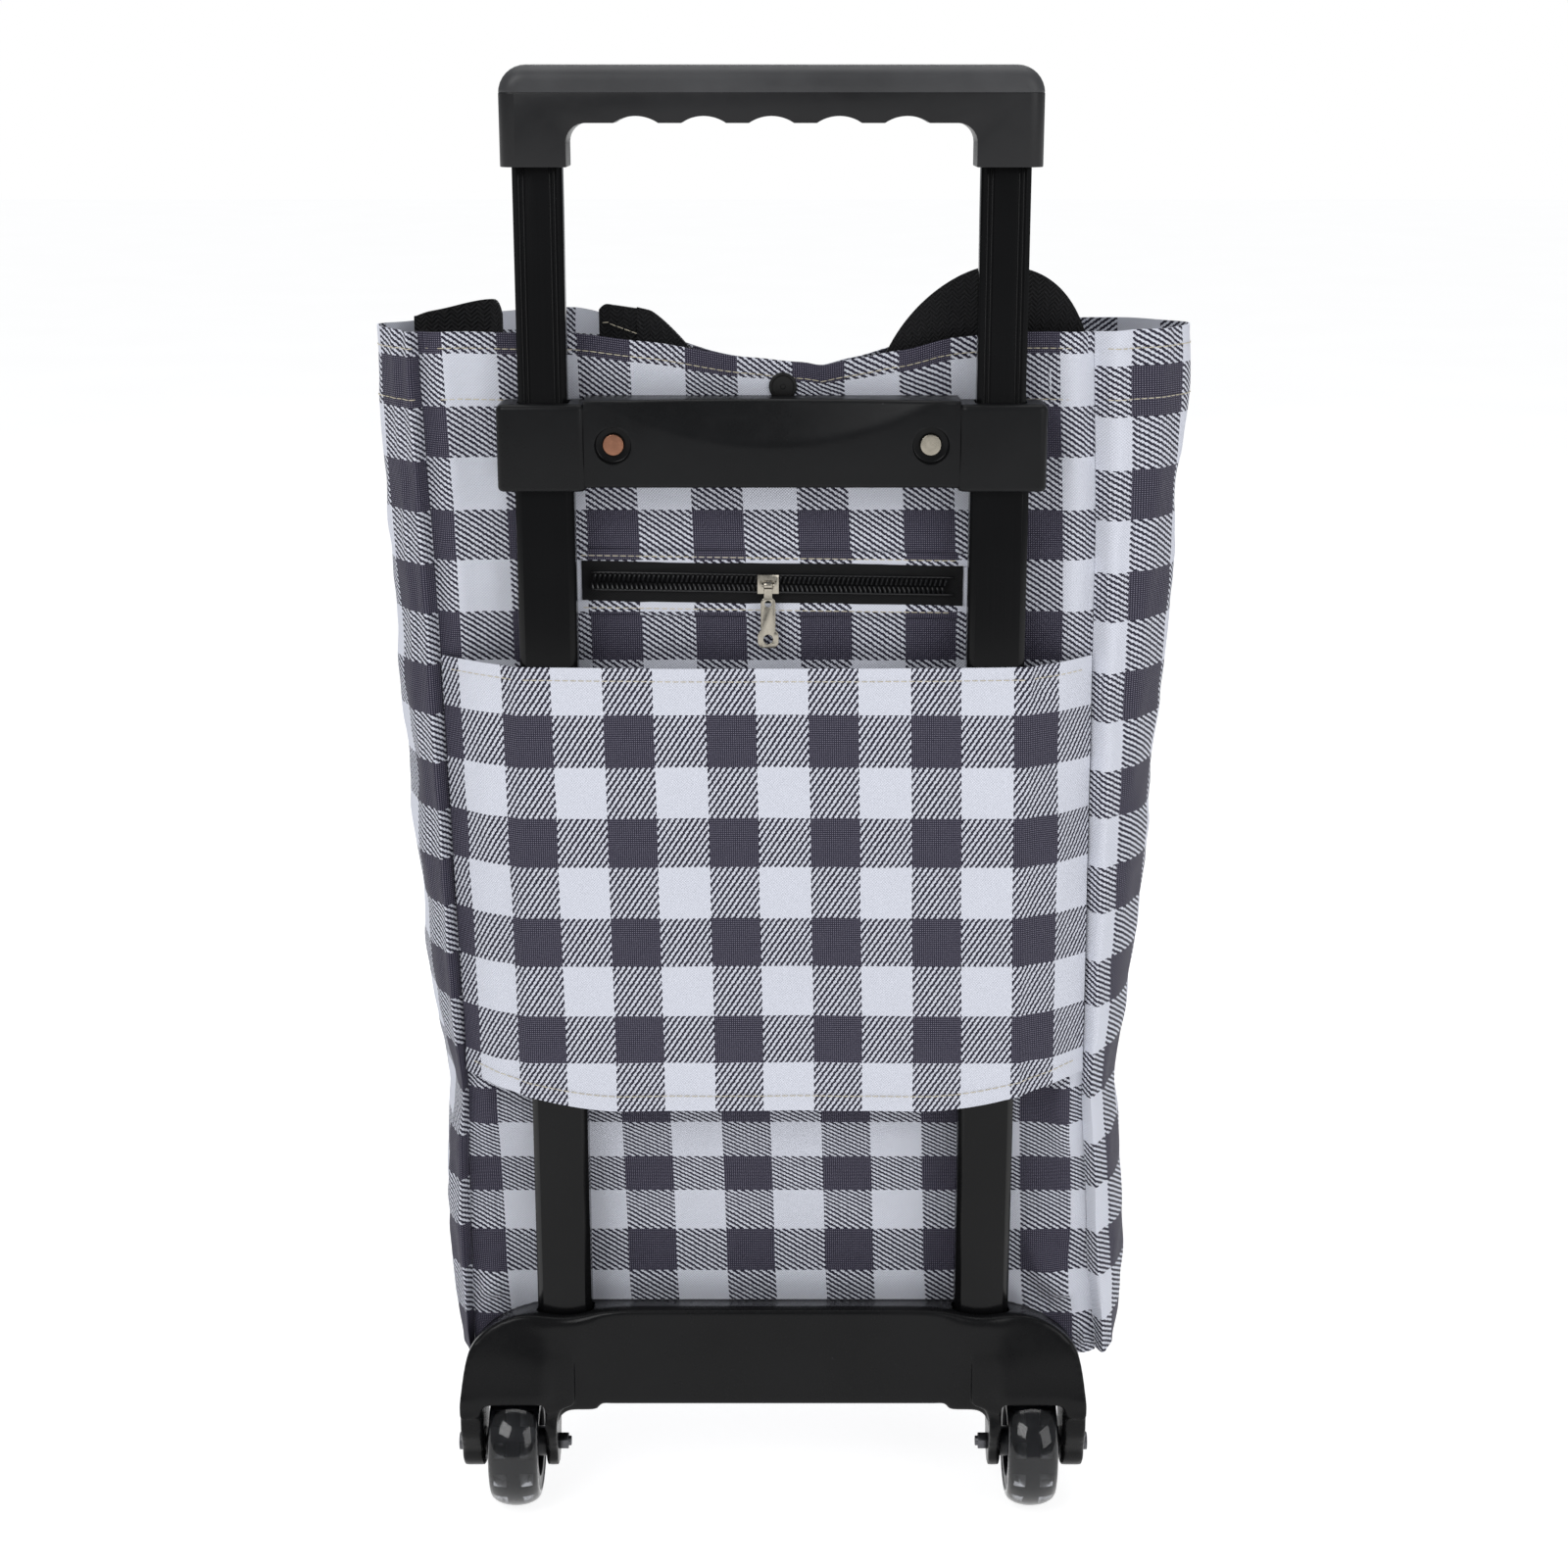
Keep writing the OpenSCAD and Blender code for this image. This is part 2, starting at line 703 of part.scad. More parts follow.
module bag_front_panel() color([0.8, 0.82, 0.86]) placed() {
    cols = 24;
    edge = 0.985;
    levels = [for (r = [0:shell_rows]) r / shell_rows];
    spots = [for (c = [0:cols]) lerp(edge, -edge, c / cols)];
    height = function(p, s) lerp(bag_floor, top_edge(p[0]) - 1, s);
    outer = [for (s = levels) [for (t = spots) let(p = front_point(t, s)) grid_point(p, height(p, s))]];
    inner = [for (s = levels) [for (t = spots)
        let(p = front_point(t, s), n = inward(front_point(t - 0.01, s), front_point(t + 0.01, s), -1))
            grid_point(p + n, height(p, s))]];
    cloth_shell(outer, inner);
}

module bag_gusset(side) color([0.75, 0.77, 0.82]) placed() mirror([side > 0 ? 0 : 1, 0, 0]) {
    cols = 12;
    levels = [for (r = [0:shell_rows]) r / shell_rows];
    spots = [for (c = [0:cols]) lerp(0.01, 0.98, c / cols)];
    height = function(s) lerp(bag_floor + 3, bag_top, s);
    outer = [for (s = levels) [for (t = spots) grid_point(side_point(t, s), height(s))]];
    inner = [for (s = levels) [for (t = spots)
        let(n = inward(side_point(t - 0.01, s), side_point(t + 0.01, s), 1))
            grid_point(side_point(t, s) + n, height(s))]];
    cloth_shell(outer, inner);
}

module bag_back_panel() color([0.8, 0.82, 0.86]) placed() {
    steps = 24;
    top = [for (i = [0:steps]) let(x = lerp(seam_x, -seam_x, i / steps)) [x, top_edge(x)]];
    difference() {
        through_y(cloth_y, cloth_y + cloth_t)
            polygon(concat([[-seam_x, back_panel_z], [seam_x, back_panel_z]], top));
        for (side = [-1, 1])
            pin_y(side * rivet_x, rivet_z, 2.6, cloth_y - 1, cloth_y + cloth_t + 1);
        for (x = clamp_xs)
            pin_y(x, clamp_z, 1.6, cloth_y - 1, cloth_y + cloth_t + 1);
        pin_y(snap_x, snap_z, 2, cloth_y - 1, cloth_y + cloth_t + 1);
        translate([-zip_half + 3, cloth_y - 1, zip_z - 3]) cube([2 * zip_half - 6, cloth_t + 2, 6]);
    }
}

module bag_bottom_panel() color([0.75, 0.77, 0.82]) placed() {
    steps = 12;
    inset = 5;
    front = [for (i = [0:steps]) let(p = front_point(lerp(0.96, -0.96, i / steps), 0)) [p[0], p[1] - inset]];
    difference() {
        translate([0, 0, bag_floor - cloth_t + 1.5])
            linear_extrude(cloth_t)
                polygon(concat([[-seam_x + 4, cloth_y + 3], [seam_x - 4, cloth_y + 3]], front));
        for (side = [-1, 1])
            translate([side * arm_x, clip_y, bag_floor - 5]) cylinder(r = 4, h = 12);
    }
}

// cloth tunnel sewn into the side seams, the tubes run behind it
module sleeve_panel() color([0.78, 0.8, 0.85]) placed() {
    sleeve_bottom = 213.5;
    sleeve_top = 437;
    front = -outer_d / 2 - 0.3;
    thick = 1.2;
    turn_x = tube_x + outer_w / 2 + 2.5;
    edge = [seam_x, cloth_y - 0.3];
    column(sleeve_bottom, sleeve_top)
        polygon([
            [-edge[0], edge[1]], [-turn_x, front], [turn_x, front], [edge[0], edge[1]],
            [edge[0], edge[1] - 2.2], [turn_x + 1, front - thick], [-turn_x - 1, front - thick],
            [-edge[0], edge[1] - 2.2]
        ]);
}

// pouch that the bag packs into, hanging inside behind the zip
module pouch_lining() color([0.7, 0.72, 0.75]) placed() {
    translate([-96, plate_y + 1, 260]) cube([192, 1.2, 200]);
}

module zip_tape() color([0.03, 0.03, 0.03]) placed() {
    difference() {
        translate([-zip_half, cloth_y - 0.8, zip_z - 10.5]) cube([2 * zip_half, 0.8, 21]);
        translate([-zip_half + 4, cloth_y - 1, zip_z - 0.4]) cube([2 * zip_half - 8, 2, 0.8]);
    }
}

module zip_coil() color([0.03, 0.03, 0.03]) placed() {
    for (s = [-1, 1])
        translate([-zip_half + 4, cloth_y - 2.1, s > 0 ? zip_z + 0.1 : zip_z - 1.5])
            cube([2 * zip_half - 8, 1.3, 1.4]);
}

slider_x = -2;
bridge_y = cloth_y - 5.6;

module zip_slider() color([0.7, 0.68, 0.62]) placed() translate([slider_x, 0, zip_z]) {
    roof = cloth_y - 3.6;
    translate([-5, roof, -4.5]) cube([10, 1.2, 9]);
    for (s = [-1, 1])
        translate([-5, roof, s > 0 ? 2.2 : -4.5]) cube([10, 2.6, 2.3]);
    for (s = [-1, 1])
        translate([s > 0 ? 3 : -4, bridge_y - 0.7, -1.5]) cube([1, roof - bridge_y + 0.8, 3]);
    pin_x(bridge_y, 0, 0.7, -4, 4);
}

module zip_puller() color([0.72, 0.7, 0.64]) placed() translate([slider_x, bridge_y, zip_z]) {
    plate_w = 10;
    plate_l = 30;
    difference() {
        union() {
            pin_x(0, 0, 1.8, -2, 2);
            through_y(-0.6, 0.6) {
                translate([-2, -8]) square([4, 8]);
                translate([0, -plate_l / 2 - 3]) rounded(7, plate_l - 6, 2.5);
                translate([0, -plate_l + 4.2]) rounded(plate_w, 8.8, 3);
            }
        }
        pin_x(0, 0, 0.7 + bore_slack, -3, 3);
        pin_y(0, -plate_l + 4, 2.2, -2, 2);
        pin_y(0, -9, 1.6, -2, 2);
    }
}

module snap_cap() color([0.03, 0.03, 0.03]) placed() {
    pin_y(snap_x, snap_z, snap_r, cloth_y - 1.8, cloth_y);
    pin_y(snap_x, snap_z, 1.95, cloth_y - 1.8, plate_y);
}

module snap_socket() color([0.05, 0.05, 0.05]) placed() {
    difference() {
        pin_y(snap_x, snap_z, 5.5, plate_y, plate_y + 1.4);
        pin_y(snap_x, snap_z, 2.6, plate_y + 0.2, plate_y + 2);
    }
}

module snap_stud() color([0.05, 0.05, 0.05]) placed() {
    pin_y(snap_x, snap_z, 5.5, plate_y + 1.5, plate_y + 2.3);
    pin_y(snap_x, snap_z, 2.4, plate_y + 0.4, plate_y + 2);
}

function arc_band(cx, cz, a, b, w, n) = concat(
    [for (i = [0:n]) let(q = 180 * i / n) [cx + a * cos(q), cz + b * sin(q)]],
    [for (i = [n:-1:0]) let(q = 180 * i / n) [cx + (a - w) * cos(q), cz + (b - w) * sin(q)]]
);
strap_w = 38;

// carrying loops of webbing, stitched inside the mouth
module strap_right() color([0.03, 0.03, 0.03]) placed() {
    through_y(plate_y + 2, plate_y + 3.6) polygon(arc_band(98, 553, 52, 67, strap_w, 20));
}

module strap_left() color([0.03, 0.03, 0.03]) placed() {
    through_y(48, 49.6)
        polygon([[-168, 540], [-130, 540], [-130, 607], [-136, 609], [-168, 600]]);
    translate([-82, 34, 560]) rotate([0, 0, -14]) cube([34, 1.6, 34]);
}

grip_lower();
grip_upper();
inner_tube(-1);  // inner_tube_left
inner_tube(1);  // inner_tube_right
grip_screws();
tube_shoe(-1);  // tube_shoe_left
tube_shoe(1);  // tube_shoe_right
shoe_spring(-1);  // shoe_spring_left
shoe_spring(1);  // shoe_spring_right
outer_tube(-1);  // outer_tube_left
outer_tube(1);  // outer_tube_right
guide_bush(-1);  // guide_bush_left
guide_bush(1);  // guide_bush_right
crossbar();
crossbar_backing_plate();
color([0.72, 0.4, 0.25]) rivet(-1);  // rivet_left
color([0.75, 0.73, 0.68]) rivet(1);  // rivet_right
base_beam();
beam_rear_cover();
beam_cover_screws();
tube_foot_plugs();
bag_clamp_plate();
bag_clamp_screws();
axle_bolt(-1);  // axle_bolt_left
axle_bolt(1);  // axle_bolt_right
axle_nut(-1);  // axle_nut_left
axle_nut(1);  // axle_nut_right
wheel_hub(-1);  // wheel_hub_left
wheel_hub(1);  // wheel_hub_right
wheel_bush(-1);  // wheel_bush_left
wheel_bush(1);  // wheel_bush_right
wheel_tyre(-1);  // wheel_tyre_left
wheel_tyre(1);  // wheel_tyre_right
stand_bracket(-1);  // stand_bracket_left
stand_bracket(1);  // stand_bracket_right
stand_frame();
stand_foot(-1);  // stand_foot_left
stand_foot(1);  // stand_foot_right
bottom_board();
board_clips();
bag_back_panel();
bag_front_panel();
bag_gusset(-1);  // bag_gusset_left
bag_gusset(1);  // bag_gusset_right
bag_bottom_panel();
sleeve_panel();
pouch_lining();
zip_tape();
zip_coil();
zip_slider();
zip_puller();
snap_cap();
snap_socket();
snap_stud();
strap_left();
strap_right();
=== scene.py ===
import bmesh
import bpy
import math
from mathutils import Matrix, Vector, noise


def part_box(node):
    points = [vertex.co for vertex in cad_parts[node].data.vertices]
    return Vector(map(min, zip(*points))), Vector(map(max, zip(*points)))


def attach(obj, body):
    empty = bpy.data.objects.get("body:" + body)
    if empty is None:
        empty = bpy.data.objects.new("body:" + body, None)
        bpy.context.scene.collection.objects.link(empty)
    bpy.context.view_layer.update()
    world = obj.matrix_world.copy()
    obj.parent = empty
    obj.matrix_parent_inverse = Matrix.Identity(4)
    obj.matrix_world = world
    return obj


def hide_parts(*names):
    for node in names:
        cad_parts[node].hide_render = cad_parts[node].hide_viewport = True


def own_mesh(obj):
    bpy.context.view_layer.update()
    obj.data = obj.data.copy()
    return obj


# Looks for the folding shopping trolley: moulded grip, crossbar and beam, clear-tyred
# wheels, and a sewn bag of checked cloth. Places are worked out in millimetres, X across,
# Y from the tubes' centre plane and Z from the floor, and turned into metres by place().

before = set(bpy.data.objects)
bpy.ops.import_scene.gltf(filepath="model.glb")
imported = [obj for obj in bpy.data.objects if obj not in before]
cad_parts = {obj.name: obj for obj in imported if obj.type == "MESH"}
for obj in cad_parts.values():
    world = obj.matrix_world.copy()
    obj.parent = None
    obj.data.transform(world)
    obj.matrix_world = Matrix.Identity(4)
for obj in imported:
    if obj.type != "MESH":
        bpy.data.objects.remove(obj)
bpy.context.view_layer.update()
mm = 0.001
tubeLow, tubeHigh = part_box("outer_tube_left")
tubeY = (tubeLow.y + tubeHigh.y) / 2
tubeX = -(tubeLow.x + tubeHigh.x) / 2 / mm
print("frame loaded, tubes at Y", round(tubeY, 5), "and X", round(tubeX, 2))


# small tools
def place(x, y, z):
    return Vector((x * mm, tubeY + y * mm, z * mm))


def spanOf(node):
    low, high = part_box(node)
    shift = Vector((0, tubeY, 0))
    return (low - shift) / mm, (high - shift) / mm


def lerp(a, b, t):
    return a + (b - a) * t


def ease(t):
    t = min(1.0, max(0.0, t))
    return t * t * (3 - 2 * t)


def along(points, at):
    # value at a place, read smoothly from a short list of (place, value)
    if at <= points[0][0]:
        return points[0][1]
    for (a, va), (b, vb) in zip(points, points[1:]):
        if at <= b:
            t = (at - a) / (b - a)
            return lerp(va, vb, (t + ease(t)) / 2)
    return points[-1][1]


def bump1(t, middle, width):
    return math.exp(-((t - middle) / width) ** 2)


def linked(name, mesh):
    piece = bpy.data.objects.new(name, mesh)
    bpy.context.scene.collection.objects.link(piece)
    return piece


def meshPiece(name, vertices, faces):
    mesh = bpy.data.meshes.new(name)
    mesh.from_pydata(vertices, [], faces)
    return linked(name, mesh)


def clearSelection():
    if bpy.context.mode != "OBJECT":
        bpy.ops.object.mode_set(mode="OBJECT")
    bpy.ops.object.select_all(action="DESELECT")


def only(piece):
    clearSelection()
    piece.select_set(True)
    bpy.context.view_layer.objects.active = piece
    return piece


def block(name, low, high):
    clearSelection()
    a = place(*low)
    b = place(*high)
    bpy.ops.mesh.primitive_cube_add(size=1, location=(a + b) / 2)
    piece = bpy.context.object
    piece.name = name
    piece.scale = b - a
    bpy.ops.object.transform_apply(location=True, rotation=True, scale=True)
    return piece


def rod(name, middle, radius, length, axis, sides):
    clearSelection()
    turn = {"x": (0, math.pi / 2, 0), "y": (math.pi / 2, 0, 0), "z": (0, 0, 0)}[axis]
    bpy.ops.mesh.primitive_cylinder_add(vertices=sides, radius=radius * mm, depth=length * mm,
                                        location=place(*middle), rotation=turn)
    piece = bpy.context.object
    piece.name = name
    bpy.ops.object.transform_apply(location=True, rotation=True, scale=True)
    return piece


def inEdit(piece, work):
    # runs work(mesh) on the edit-mode mesh of one piece
    only(piece)
    bpy.ops.object.mode_set(mode="EDIT")
    bpy.ops.mesh.select_mode(type="EDGE")
    bpy.ops.mesh.select_all(action="DESELECT")
    mesh = bmesh.from_edit_mesh(piece.data)
    work(mesh)
    bpy.ops.object.mode_set(mode="OBJECT")
    return piece


def inMm(point):
    return Vector((point.x / mm, (point.y - tubeY) / mm, point.z / mm))


def pickEdges(mesh, piece, test):
    for edge in mesh.edges:
        edge.select_set(test(inMm(edge.verts[0].co), inMm(edge.verts[1].co)))
    bmesh.update_edit_mesh(piece.data)


def bevelEdges(piece, test, width, segments):
    def work(mesh):
        pickEdges(mesh, piece, test)
        bpy.ops.mesh.bevel(offset=width * mm, segments=segments, affect="EDGES", profile=0.5)
    return inEdit(piece, work)


def applied(piece, kind, **settings):
    only(piece)
    modifier = piece.modifiers.new(kind.lower(), kind)
    for key, value in settings.items():
        setattr(modifier, key, value)
    bpy.ops.object.modifier_apply(modifier=modifier.name)
    return piece


def cut(piece, tool, operation="DIFFERENCE"):
    applied(piece, "BOOLEAN", object=tool, operation=operation, solver="EXACT")
    bpy.data.objects.remove(tool)
    return piece


def joined(name, pieces):
    clearSelection()
    for piece in pieces:
        piece.select_set(True)
    bpy.context.view_layer.objects.active = pieces[0]
    bpy.ops.object.join()
    pieces[0].name = name
    return pieces[0]


def softEdges(piece, width, angle, segments):
    return applied(piece, "BEVEL", width=width * mm, segments=segments, limit_method="ANGLE",
                   angle_limit=math.radians(angle), harden_normals=False)


def smooth(piece, angle):
    only(piece)
    bpy.ops.object.shade_smooth_by_angle(angle=math.radians(angle))
    return piece


def dress(piece, material, slotName, body, *nodes):
    piece.data.materials.clear()
    for one in material if isinstance(material, (list, tuple)) else [material]:
        piece.data.materials.append(one)
    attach(piece, body)
    if nodes:
        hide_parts(*nodes)
    return piece


def finishedCopy(node, material, slotName, body, edge, angle=30):
    # a CAD node's own shape with its loose triangles merged and its edges broken
    piece = linked(node + "_finished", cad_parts[node].data.copy())

    def work(mesh):
        bpy.ops.mesh.select_all(action="SELECT")
        bpy.ops.mesh.remove_doubles(threshold=0.00001)
        bpy.ops.mesh.dissolve_limited(angle_limit=math.radians(1.5))
        bpy.ops.mesh.normals_make_consistent(inside=False)
    inEdit(piece, work)
    if edge:
        softEdges(piece, edge, angle=angle, segments=2)
    smooth(piece, 40)
    return dress(piece, material, slotName, body, node)


class Nodes:
    # a short way to wire shader nodes
    def __init__(self, name):
        self.material = bpy.data.materials.new(name)
        self.material.use_nodes = True
        self.tree = self.material.node_tree
        self.shader = self.tree.nodes["Principled BSDF"]
        self.coords = self.add("ShaderNodeTexCoord").outputs["Object"]

    def add(self, kind, **settings):
        node = self.tree.nodes.new(kind)
        for key, value in settings.items():
            setattr(node, key, value)
        return node

    def join(self, source, target):
        if isinstance(source, (int, float, tuple)):
            target.default_value = source
        else:
            self.tree.links.new(source, target)

    def maths(self, operation, a, b=0.0):
        node = self.add("ShaderNodeMath", operation=operation)
        for value, target in zip((a, b), node.inputs):
            self.join(value, target)
        return node.outputs[0]

    def stretched(self, scale):
        node = self.add("ShaderNodeMapping")
        self.join(self.coords, node.inputs["Vector"])
        node.inputs["Scale"].default_value = scale
        return node.outputs[0]

    def grain(self, scale, detail, rough=0.5, vector=None):
        node = self.add("ShaderNodeTexNoise")
        self.join(vector or self.coords, node.inputs["Vector"])
        node.inputs["Scale"].default_value = scale
        node.inputs["Detail"].default_value = detail
        node.inputs["Roughness"].default_value = rough
        return node.outputs["Fac"]

    def ranged(self, value, low, high, fromLow=0.3, fromHigh=0.7):
        node = self.add("ShaderNodeMapRange")
        self.join(value, node.inputs["Value"])
        node.inputs["From Min"].default_value = fromLow
        node.inputs["From Max"].default_value = fromHigh
        node.inputs["To Min"].default_value = low
        node.inputs["To Max"].default_value = high
        return node.outputs[0]

    def mixed(self, factor, a, b):
        node = self.add("ShaderNodeMix", data_type="RGBA")
        self.join(factor, node.inputs["Factor"])
        self.join(a if not isinstance(a, tuple) else (*a, 1.0), node.inputs["A"])
        self.join(b if not isinstance(b, tuple) else (*b, 1.0), node.inputs["B"])
        return node.outputs["Result"]

    def specks(self, colour, size, spread, tint):
        # a few dust specks
        node = self.add("ShaderNodeTexVoronoi")
        self.join(self.coords, node.inputs["Vector"])
        node.inputs["Scale"].default_value = spread
        near = self.maths("LESS_THAN", node.outputs["Distance"], size)
        return self.mixed(near, colour, tint)

    def raised(self, height, distance, strength):
        node = self.add("ShaderNodeBump")
        self.join(height, node.inputs["Height"])
        node.inputs["Distance"].default_value = distance
        node.inputs["Strength"].default_value = strength
        self.join(node.outputs["Normal"], self.shader.inputs["Normal"])

    def finish(self, colour=None, roughness=None, **fixed):
        if colour is not None:
            self.join(colour, self.shader.inputs["Base Color"])
        if roughness is not None:
            self.join(roughness, self.shader.inputs["Roughness"])
        for key, value in fixed.items():
            self.shader.inputs[key.replace("_", " ")].default_value = value
        return self.material


def tinted(colour, factor):
    return tuple(c * factor for c in colour)


def mouldedPlastic(name, colour, roughness, grainSize=0.45, depth=0.03, specks=True, gloss=0.25):
    n = Nodes(name)
    fine = n.grain(1 / (grainSize * mm), 2.0, 0.6)
    cloud = n.grain(22, 4.0, 0.6)
    scuff = n.grain(160, 3.0, 0.7)
    body = n.mixed(n.ranged(cloud, 0.0, 1.0), tinted(colour, 0.82), tinted(colour, 1.18))
    if specks:
        body = n.specks(body, 0.018, 55, tinted(colour, 4.5))
    shine = n.maths("ADD", n.ranged(cloud, roughness - 0.05, roughness + 0.05),
                    n.ranged(scuff, -0.03, 0.05, 0.45, 0.75))
    n.raised(fine, depth * mm, 0.6)
    return n.finish(body, shine, Specular_IOR_Level=gloss)


def paintedTube(name, colour, roughness, coat):
    n = Nodes(name)
    drawn = n.grain(1.0, 3.0, 0.6, n.stretched((2600, 2600, 9)))
    cloud = n.grain(14, 3.0)
    body = n.specks(n.mixed(n.ranged(cloud, 0.0, 1.0), tinted(colour, 0.8), tinted(colour, 1.3)),
                    0.012, 45, tinted(colour, 8))
    shine = n.ranged(drawn, roughness - 0.04, roughness + 0.05)
    n.raised(drawn, 0.004 * mm, 0.4)
    return n.finish(body, shine, Coat_Weight=coat, Coat_Roughness=0.12, Specular_IOR_Level=0.17)


def platedMetal(name, colour, roughness, brushed=(900, 900, 900)):
    n = Nodes(name)
    brush = n.grain(1.0, 3.0, 0.6, n.stretched(brushed))
    cloud = n.grain(260, 4.0, 0.6)
    body = n.mixed(n.ranged(cloud, 0.0, 1.0), tinted(colour, 0.75), colour)
    shine = n.maths("ADD", n.ranged(cloud, roughness - 0.06, roughness + 0.08),
                    n.ranged(brush, -0.04, 0.06))
    n.raised(brush, 0.02 * mm, 0.5)
    return n.finish(body, shine, Metallic=1.0)


def softCloth(name, colour, thread, depth, roughness, uvMap=None, ribs=None):
    # plain woven cloth, or ribbed webbing where ribs gives the rib spacing in mm
    n = Nodes(name)
    source = n.add("ShaderNodeUVMap", uv_map=uvMap).outputs["UV"] if uvMap else n.coords
    parts = n.add("ShaderNodeSeparateXYZ")
    n.join(source, parts.inputs[0])
    across, up = parts.outputs[0], parts.outputs[1] if uvMap else parts.outputs[2]
    rate = 2 * math.pi / (thread * mm)
    weft = n.maths("SINE", n.maths("MULTIPLY", across, rate))
    warp = n.maths("SINE", n.maths("MULTIPLY", up, rate))
    height = n.maths("MULTIPLY", weft, warp)
    if ribs:
        slanted = n.maths("ADD", up, n.maths("MULTIPLY", n.maths("PINGPONG", across, 3.2 * mm), 0.8))
        rib = n.maths("SINE", n.maths("MULTIPLY", slanted, 2 * math.pi / (ribs * mm)))
        height = n.maths("ADD", n.maths("MULTIPLY", rib, 1.6), height)
    # painted shade and highlight: the colour is darkened in the hollows of the weave and the ribs and
    # lightened on the raised threads and ribs, following the same height as the bump
    lift = n.ranged(height, 0.45 if ribs else 0.78, 1.6 if ribs else 1.1, -1.6, 1.6)
    cloud = n.ranged(n.grain(30, 3.0), 0.9, 1.1)
    shade = n.add("ShaderNodeMix", data_type="RGBA", blend_type="MULTIPLY")
    shade.inputs["Factor"].default_value = 1.0
    shade.inputs["A"].default_value = (*colour, 1.0)
    n.join(n.maths("MULTIPLY", lift, cloud), shade.inputs["B"])
    n.raised(height, depth * mm, 0.8)
    return n.finish(shade.outputs["Result"], n.ranged(height, roughness + 0.06, roughness, -1.5, 1.5),
                    Sheen_Weight=0.05, Specular_IOR_Level=0.2)


gingham = {"cell": 24.2, "thread": 0.55, "ground": 1.35, "twill": 2.75, "slant": 35, "inked": 0.54,
           "dots": 1.0, "dotShare": 0.45, "white": (0.78, 0.80, 0.89), "ink": (0.020, 0.018, 0.034),
           "dotTint": (0.19, 0.18, 0.235)}


def ginghamCloth(name):
    # checks from two sets of stripes, twill where one is inked, a dotted ground where both are
    g = gingham
    n = Nodes(name)
    parts = n.add("ShaderNodeSeparateXYZ")
    n.join(n.add("ShaderNodeUVMap", uv_map="weave").outputs["UV"], parts.inputs[0])
    across, up = parts.outputs[0], parts.outputs[1]
    thread = g["thread"] * mm
    wobble = n.maths("MULTIPLY", n.maths("SUBTRACT", n.grain(900, 1.0), 0.5), 0.35 * mm)
    u = n.maths("SNAP", n.maths("ADD", across, wobble), thread)
    v = n.maths("SNAP", n.maths("ADD", up, wobble), thread)

    def inStripe(value):
        period = 2 * g["cell"] * mm
        away = n.maths("PINGPONG", value, period / 2)
        return n.maths("LESS_THAN", away, period / 4)
    columns, rows = inStripe(u), inStripe(v)
    both = n.maths("MULTIPLY", columns, rows)
    either = n.maths("MAXIMUM", columns, rows)
    phase = n.maths("ADD", v, n.maths("MULTIPLY", u, math.tan(math.radians(g["slant"]))))

    def partOf(value, period, share):
        return n.maths("LESS_THAN", n.maths("FRACT", n.maths("DIVIDE", value, period * mm)), share)
    twill = partOf(phase, g["twill"], g["inked"])
    dots = [partOf(value, g["dots"], g["dotShare"]) for value in (across, up)]
    dotted = n.mixed(n.maths("MULTIPLY", *dots), g["ink"], g["dotTint"])
    printed = n.mixed(both, g["ink"], dotted)
    cover = n.maths("MAXIMUM", both, n.maths("MULTIPLY", either, twill))
    rate = 2 * math.pi / (g["ground"] * mm)
    weft = n.maths("SINE", n.maths("MULTIPLY", across, rate))
    warp = n.maths("SINE", n.maths("MULTIPLY", up, rate))
    height = n.maths("MULTIPLY", weft, warp)
    # painted shade: the white ground is darkened in the hollows of the weave, following the same height as
    # the bump; a slightly darker copy is spread at random by a large noise
    raised = n.ranged(height, 0.0, 1.0, -1.0, 1.0)
    ground = n.mixed(raised, tinted(g["white"], 0.74), g["white"])
    darkerShadedWeave = n.mixed(raised, tinted(g["white"], 0.72), tinted(g["white"], 0.97))
    patchyShadedWeave = n.mixed(n.ranged(n.grain(12, 3.0), 0.0, 1.0), ground, darkerShadedWeave)
    n.raised(height, 0.16 * mm, 0.9)
    return n.finish(n.mixed(cover, patchyShadedWeave, printed), n.ranged(height, 0.72, 0.62, -1.0, 1.0),
                    Sheen_Weight=0.03, Specular_IOR_Level=0.2)


def clearTyre(name):
    n = Nodes(name)
    cloud = n.ranged(n.grain(120, 3.0), 0.05, 0.14)
    tint = n.mixed(n.ranged(n.grain(60, 2.0), 0.0, 1.0), (0.30, 0.31, 0.335), (0.42, 0.43, 0.46))
    n.raised(n.grain(500, 2.0), 0.02 * mm, 0.4)
    return n.finish(tint, cloud, Transmission_Weight=1.0, IOR=1.46)


gripPlastic = mouldedPlastic("grip_plastic", (0.013, 0.013, 0.014), 0.38)
# painted highlight: the cap is the body's own black plastic, made lighter where light from above falls on the
# grip's top
gripCapPaintedHighlight = mouldedPlastic("grip_cap_plastic", (0.046, 0.0465, 0.049), 0.44)
crossbarPlastic = mouldedPlastic("crossbar_plastic", (0.0075, 0.0077, 0.0083), 0.32, gloss=0.14)
beamPlastic = mouldedPlastic("beam_plastic", (0.0055, 0.0055, 0.0059), 0.29, gloss=0.15)
hubPlastic = mouldedPlastic("hub_plastic", (0.016, 0.016, 0.019), 0.35, specks=False)
snapPlastic = mouldedPlastic("snap_plastic", (0.008, 0.008, 0.008), 0.33, specks=False)
blackNylon = mouldedPlastic("black_nylon", (0.012, 0.012, 0.012), 0.45, specks=False)
naturalNylon = mouldedPlastic("natural_nylon", (0.62, 0.60, 0.54), 0.5, specks=False)
